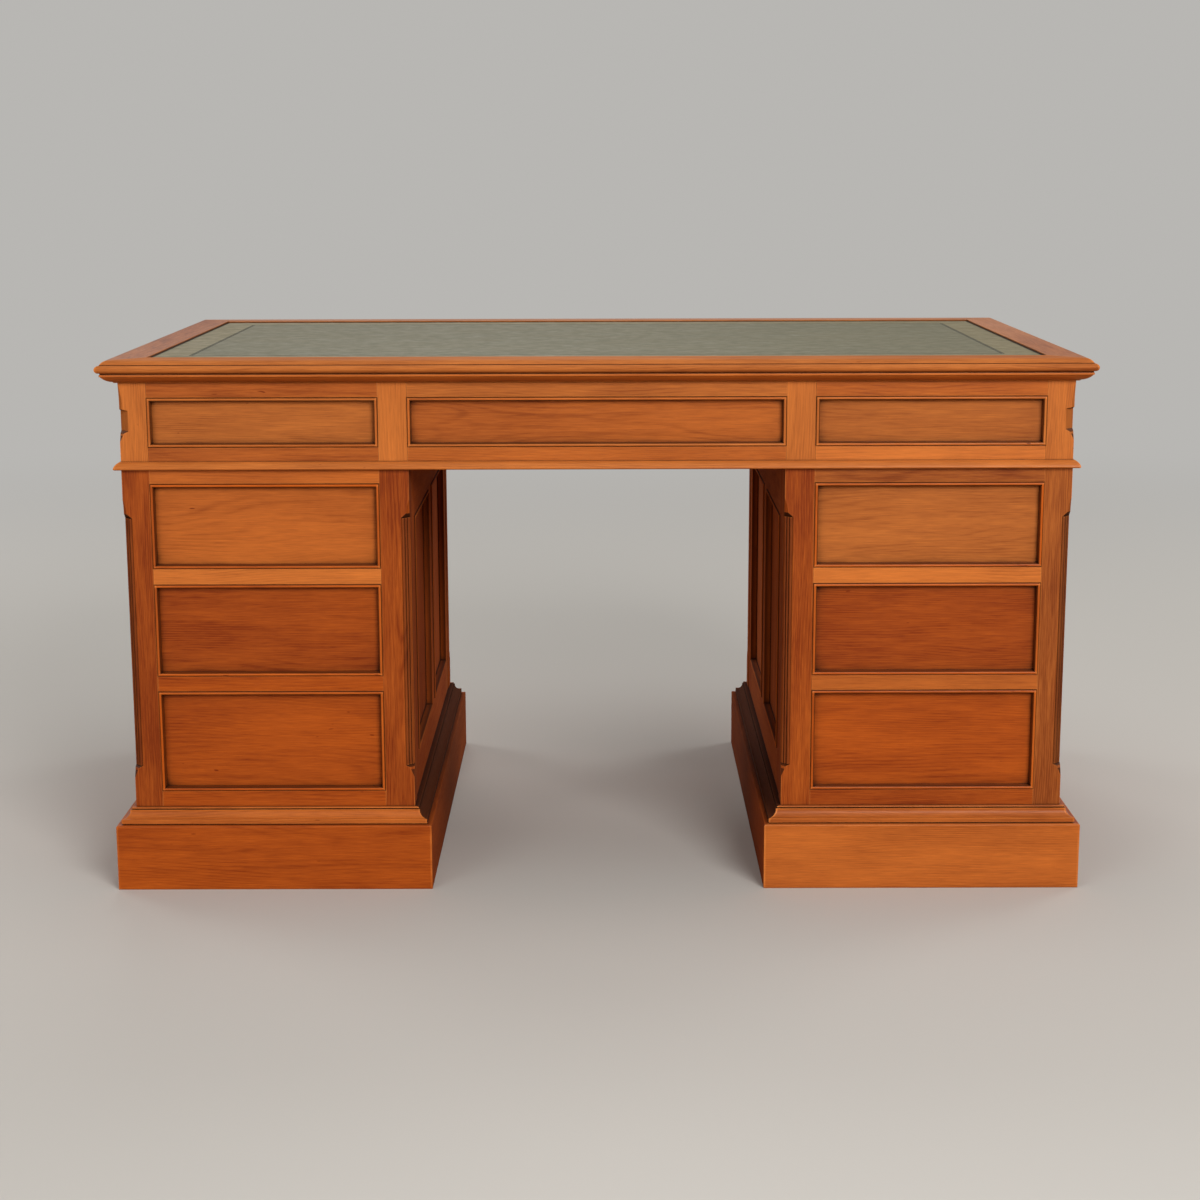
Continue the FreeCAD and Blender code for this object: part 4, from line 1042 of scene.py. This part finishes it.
leather_low, leather_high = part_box("leather_inset")
hide = bpy.data.objects.new("finished_leather_inset", leather_sheet(leather_low, leather_high))
print(f"leather {leather_high[0] - leather_low[0]:.3f} by {leather_high[1] - leather_low[1]:.3f} m,",
      len(hide.data.polygons), "faces")

# %% [markdown]
# Old desk leather is satin: it looks dark from above and pale grey at a low angle, where it
# mirrors the room. Its colour clouds slowly, mottles quickly, and is scuffed pale along the desk,
# because that is how papers and sleeves move. Outside the pressed lines the border is painted
# paler, as a painted sheen. Along the wood, a dark band is painted shade of the recess.

# %% Colour of the leather
CLOUDS, SCUFFS, MOTTLES = ((5, 7, 1), 4.0, 0.6), ((9, 38, 1), 5.0, 0.62), ((48, 56, 1), 5.0, 0.66)
SCUFF_WAVER = 0.6
HIDE_DARK, HIDE_PALE = (0.140, 0.130, 0.070), (0.184, 0.164, 0.092)
# The border's paler colour is a painted sheen.
BORDER_SHEEN, MOTTLED = (0.228, 0.186, 0.094), (0.060, 0.064, 0.038)
# The pressed lines and the painted shade of the recess share the darkest colour.
SCUFFED, PRESSED_LINE_AND_SHADE = (0.215, 0.185, 0.120), (0.012, 0.012, 0.009)
MOTTLE_WEIGHT, SCUFF_WEIGHT, PRESSED_WEIGHT = 0.34, 0.45, 0.85
LINE_NEAR, LINE_FAR = 0.6 * MM, 1.3 * MM
# A band of painted shade along the leather's edge, in the recess under the wood.
RECESS_SHADE_NEAR, RECESS_SHADE_FAR = 1.8 * MM, 4.5 * MM

leather = Recipe("leather")
place = leather.add("ShaderNodeTexCoord", out="Object")
across, deep_in, _ = leather.parts(place)
from_side = leather.math("SUBTRACT", leather_high[0], leather.math("ABSOLUTE", across))
from_end = leather.math("SUBTRACT", leather_high[1], leather.math("ABSOLUTE", deep_in))
from_edge = leather.math("MINIMUM", from_side, from_end)
middle_part = leather.span(from_edge, BORDER - 0.5 * MM, BORDER + 0.5 * MM)
cloudy = leather.noise(place, *CLOUDS)
rubbed = leather.noise(place, *SCUFFS, distortion=SCUFF_WAVER)
mottled = leather.noise(place, *MOTTLES)
scuff = leather.math("MULTIPLY", leather.span(rubbed, 0.45, 0.75), middle_part)
base = leather.blend(cloudy, HIDE_DARK, HIDE_PALE)
# Painted sheen on the border.
base = leather.blend(middle_part, BORDER_SHEEN, base)
base = leather.blend(leather.span(mottled, 0.35, 0.65, 0.0, MOTTLE_WEIGHT), base, MOTTLED)
base = leather.blend(leather.math("MULTIPLY", scuff, SCUFF_WEIGHT), base, SCUFFED)
to_lines = [leather.math("ABSOLUTE", leather.math("SUBTRACT", from_edge, line))
            for line in (BORDER, BORDER + LINE_APART)]
pressed = leather.span(leather.math("MINIMUM", *to_lines), LINE_NEAR, LINE_FAR, 1.0, 0.0)
# Painted shade of the recess, along the wood.
recess_shade = leather.span(from_edge, RECESS_SHADE_NEAR, RECESS_SHADE_FAR, 1.0, 0.0)
dark = leather.math("MAXIMUM", leather.math("MULTIPLY", pressed, PRESSED_WEIGHT), recess_shade)
base = leather.blend(dark, base, PRESSED_LINE_AND_SHADE)
print(f"a paler border of {BORDER / MM:.0f} mm")

# %% [markdown]
# Polish follows wear: what is rubbed is a little rougher, and so are the pressed lines. The
# leather's own grain is a fine pebble, which is too small to model and is left to a bump.

# %% Leather finish
PEBBLES = 950.0
PEBBLE_HEIGHT, CLOUD_HEIGHT, LEATHER_RELIEF = 0.12, 0.6, 0.25 * MM
RUBBED_ROUGHNESS, LINE_ROUGHNESS, MOTTLE_ROUGHNESS = (0.46, 0.62), 0.30, (-0.04, 0.16)

pebble = leather.add("ShaderNodeTexVoronoi", {"Vector": place, "Scale": PEBBLES, "Randomness": 1.0},
                     "Distance")
rougher = leather.math("ADD", leather.math("MULTIPLY", dark, LINE_ROUGHNESS),
                       leather.span(mottled, 0.3, 0.7, *MOTTLE_ROUGHNESS))
shine = leather.math("ADD", leather.span(rubbed, 0.3, 0.7, *RUBBED_ROUGHNESS), rougher)
relief = leather.math("ADD", leather.math("MULTIPLY", pebble, PEBBLE_HEIGHT),
                      leather.math("MULTIPLY", cloudy, CLOUD_HEIGHT))
leather.shade(Base_Color=base, Roughness=shine, Normal=leather.bump(relief, LEATHER_RELIEF),
              Specular_IOR_Level=0.4)
finishes["leather"] = leather.material

hide.data.materials.append(finishes["leather"])
bpy.context.scene.collection.objects.link(hide)
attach(hide, body_of["leather_inset"])
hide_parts("leather_inset")
print(f"leather finished with {len(leather.tree.nodes)} nodes")

# %% [markdown]
# ## Floor, air and lamps
# The studio is plain: a wide pale floor that fades into a pale surround, and large soft lamps.
# The camera sees the floor pale. To the desk, whose polish mirrors it and which it lights from
# below, it is as warm as the boards of an old room.

# %% Floor
FLOOR_RADIUS, FLOOR_SIDES = 16, 96
NEAR, FAR = 1.3, 5.0
FLOOR_COLOUR = (0.59, 0.57, 0.54)
FLOOR_BOUNCE = (0.46, 0.29, 0.14)
AIR_COLOUR = (1.0, 0.98, 0.94)
AIR_SEEN, AIR_OVERHEAD, AIR_LIGHT = 0.48, 0.16, 0.17

floor_finish = Recipe("floor")
place = floor_finish.add("ShaderNodeTexCoord", out="Object")
from_desk = floor_finish.vector("LENGTH", place, out="Value")
looked_at = floor_finish.add("ShaderNodeLightPath", out="Is Camera Ray")
distant = floor_finish.add("ShaderNodeMapRange", {"Value": from_desk, "From Min": NEAR, "From Max": FAR},
                           interpolation_type="SMOOTHSTEP")
haze = floor_finish.add("ShaderNodeEmission", {"Color": AIR_COLOUR, "Strength": AIR_SEEN})
floor_finish.shade(Base_Color=floor_finish.blend(looked_at, FLOOR_BOUNCE, FLOOR_COLOUR), Roughness=0.8,
                   Specular_IOR_Level=0.1)
mix = floor_finish.add("ShaderNodeMixShader", {0: floor_finish.math("MULTIPLY", distant, looked_at),
                                               1: floor_finish.shader.outputs[0], 2: haze})
floor_finish.fill(floor_finish.tree.nodes["Material Output"].inputs["Surface"], mix)

disc = bmesh.new()
bmesh.ops.create_circle(disc, cap_ends=True, segments=FLOOR_SIDES, radius=FLOOR_RADIUS)
floor_mesh = bpy.data.meshes.new("floor")
disc.to_mesh(floor_mesh)
disc.free()
floor_mesh.materials.append(floor_finish.material)
floor = bpy.data.objects.new("floor", floor_mesh)
bpy.context.scene.collection.objects.link(floor)
print(f"floor {2 * FLOOR_RADIUS} m across, fading from {NEAR} to {FAR} m")

# %% [markdown]
# The surround is brighter to the lens and in reflections than it is as a lamp, so the polish
# mirrors a pale room without the room washing out the wood. It darkens overhead, as a room does.

# %% Surround
HORIZON, OVERHEAD = 0.15, 0.75

world = bpy.data.worlds.new("surround")
world.use_nodes = True
bpy.context.scene.world = world
air = Tree(world.node_tree)
path = air.add("ShaderNodeLightPath").node
looked_at = air.math("MAXIMUM", path.outputs["Is Camera Ray"], path.outputs["Is Glossy Ray"])
_, _, height = air.parts(air.add("ShaderNodeTexCoord", out="Generated"))
seen = air.span(height, HORIZON, OVERHEAD, AIR_SEEN, AIR_OVERHEAD)
lit = air.math("ADD", air.math("MULTIPLY", air.math("SUBTRACT", seen, AIR_LIGHT), looked_at), AIR_LIGHT)
air.fill(air.tree.nodes["Background"].inputs["Strength"], lit)
air.fill(air.tree.nodes["Background"].inputs["Color"], AIR_COLOUR)
print(f"surround seen at {AIR_SEEN}, lighting at {AIR_LIGHT}")

# %% [markdown]
# The lamps are discs, as large as windows, so that every shadow is soft. The strongest stands
# front right like a window, a weaker one fills the other side, and the rest give the top and the
# back their shape.

# %% Lamps
LAMPS = {"window": {"place": (1.9, -4.6, 2.8), "size": 2.4, "power": 182, "colour": (1.0, 0.98, 0.95)},
         "fill": {"place": (-2.8, -4.3, 1.7), "size": 2.6, "power": 44, "colour": (1.0, 0.97, 0.93)},
         "ceiling": {"place": (0.2, -0.4, 4.2), "size": 3.2, "power": 44, "colour": (1.0, 0.99, 0.97)},
         "back": {"place": (-0.6, 4.0, 4.4), "size": 2.2, "power": 55, "colour": (1.0, 0.99, 0.97)},
         "left rear": {"place": (-3.9, 2.7, 2.1), "size": 2.0, "power": 46, "colour": (1.0, 0.98, 0.95)},
         "right rear": {"place": (3.9, 2.7, 2.1), "size": 2.0, "power": 46, "colour": (1.0, 0.98, 0.95)}}
AIM = Vector((0, 0, 0.4))

for name, facts in LAMPS.items():
    lamp = bpy.data.objects.new(name, bpy.data.lights.new(name, "AREA"))
    lamp.data.shape = "DISK"
    lamp.data.size = facts["size"]
    lamp.data.energy = facts["power"]
    lamp.data.color = facts["colour"]
    lamp.location = facts["place"]
    lamp.rotation_euler = (AIM - lamp.location).to_track_quat("-Z", "Y").to_euler()
    bpy.context.scene.collection.objects.link(lamp)
bpy.context.scene.view_settings.view_transform = "Standard"
print(len(LAMPS), "lamps")

# %% [markdown]
# ## The end
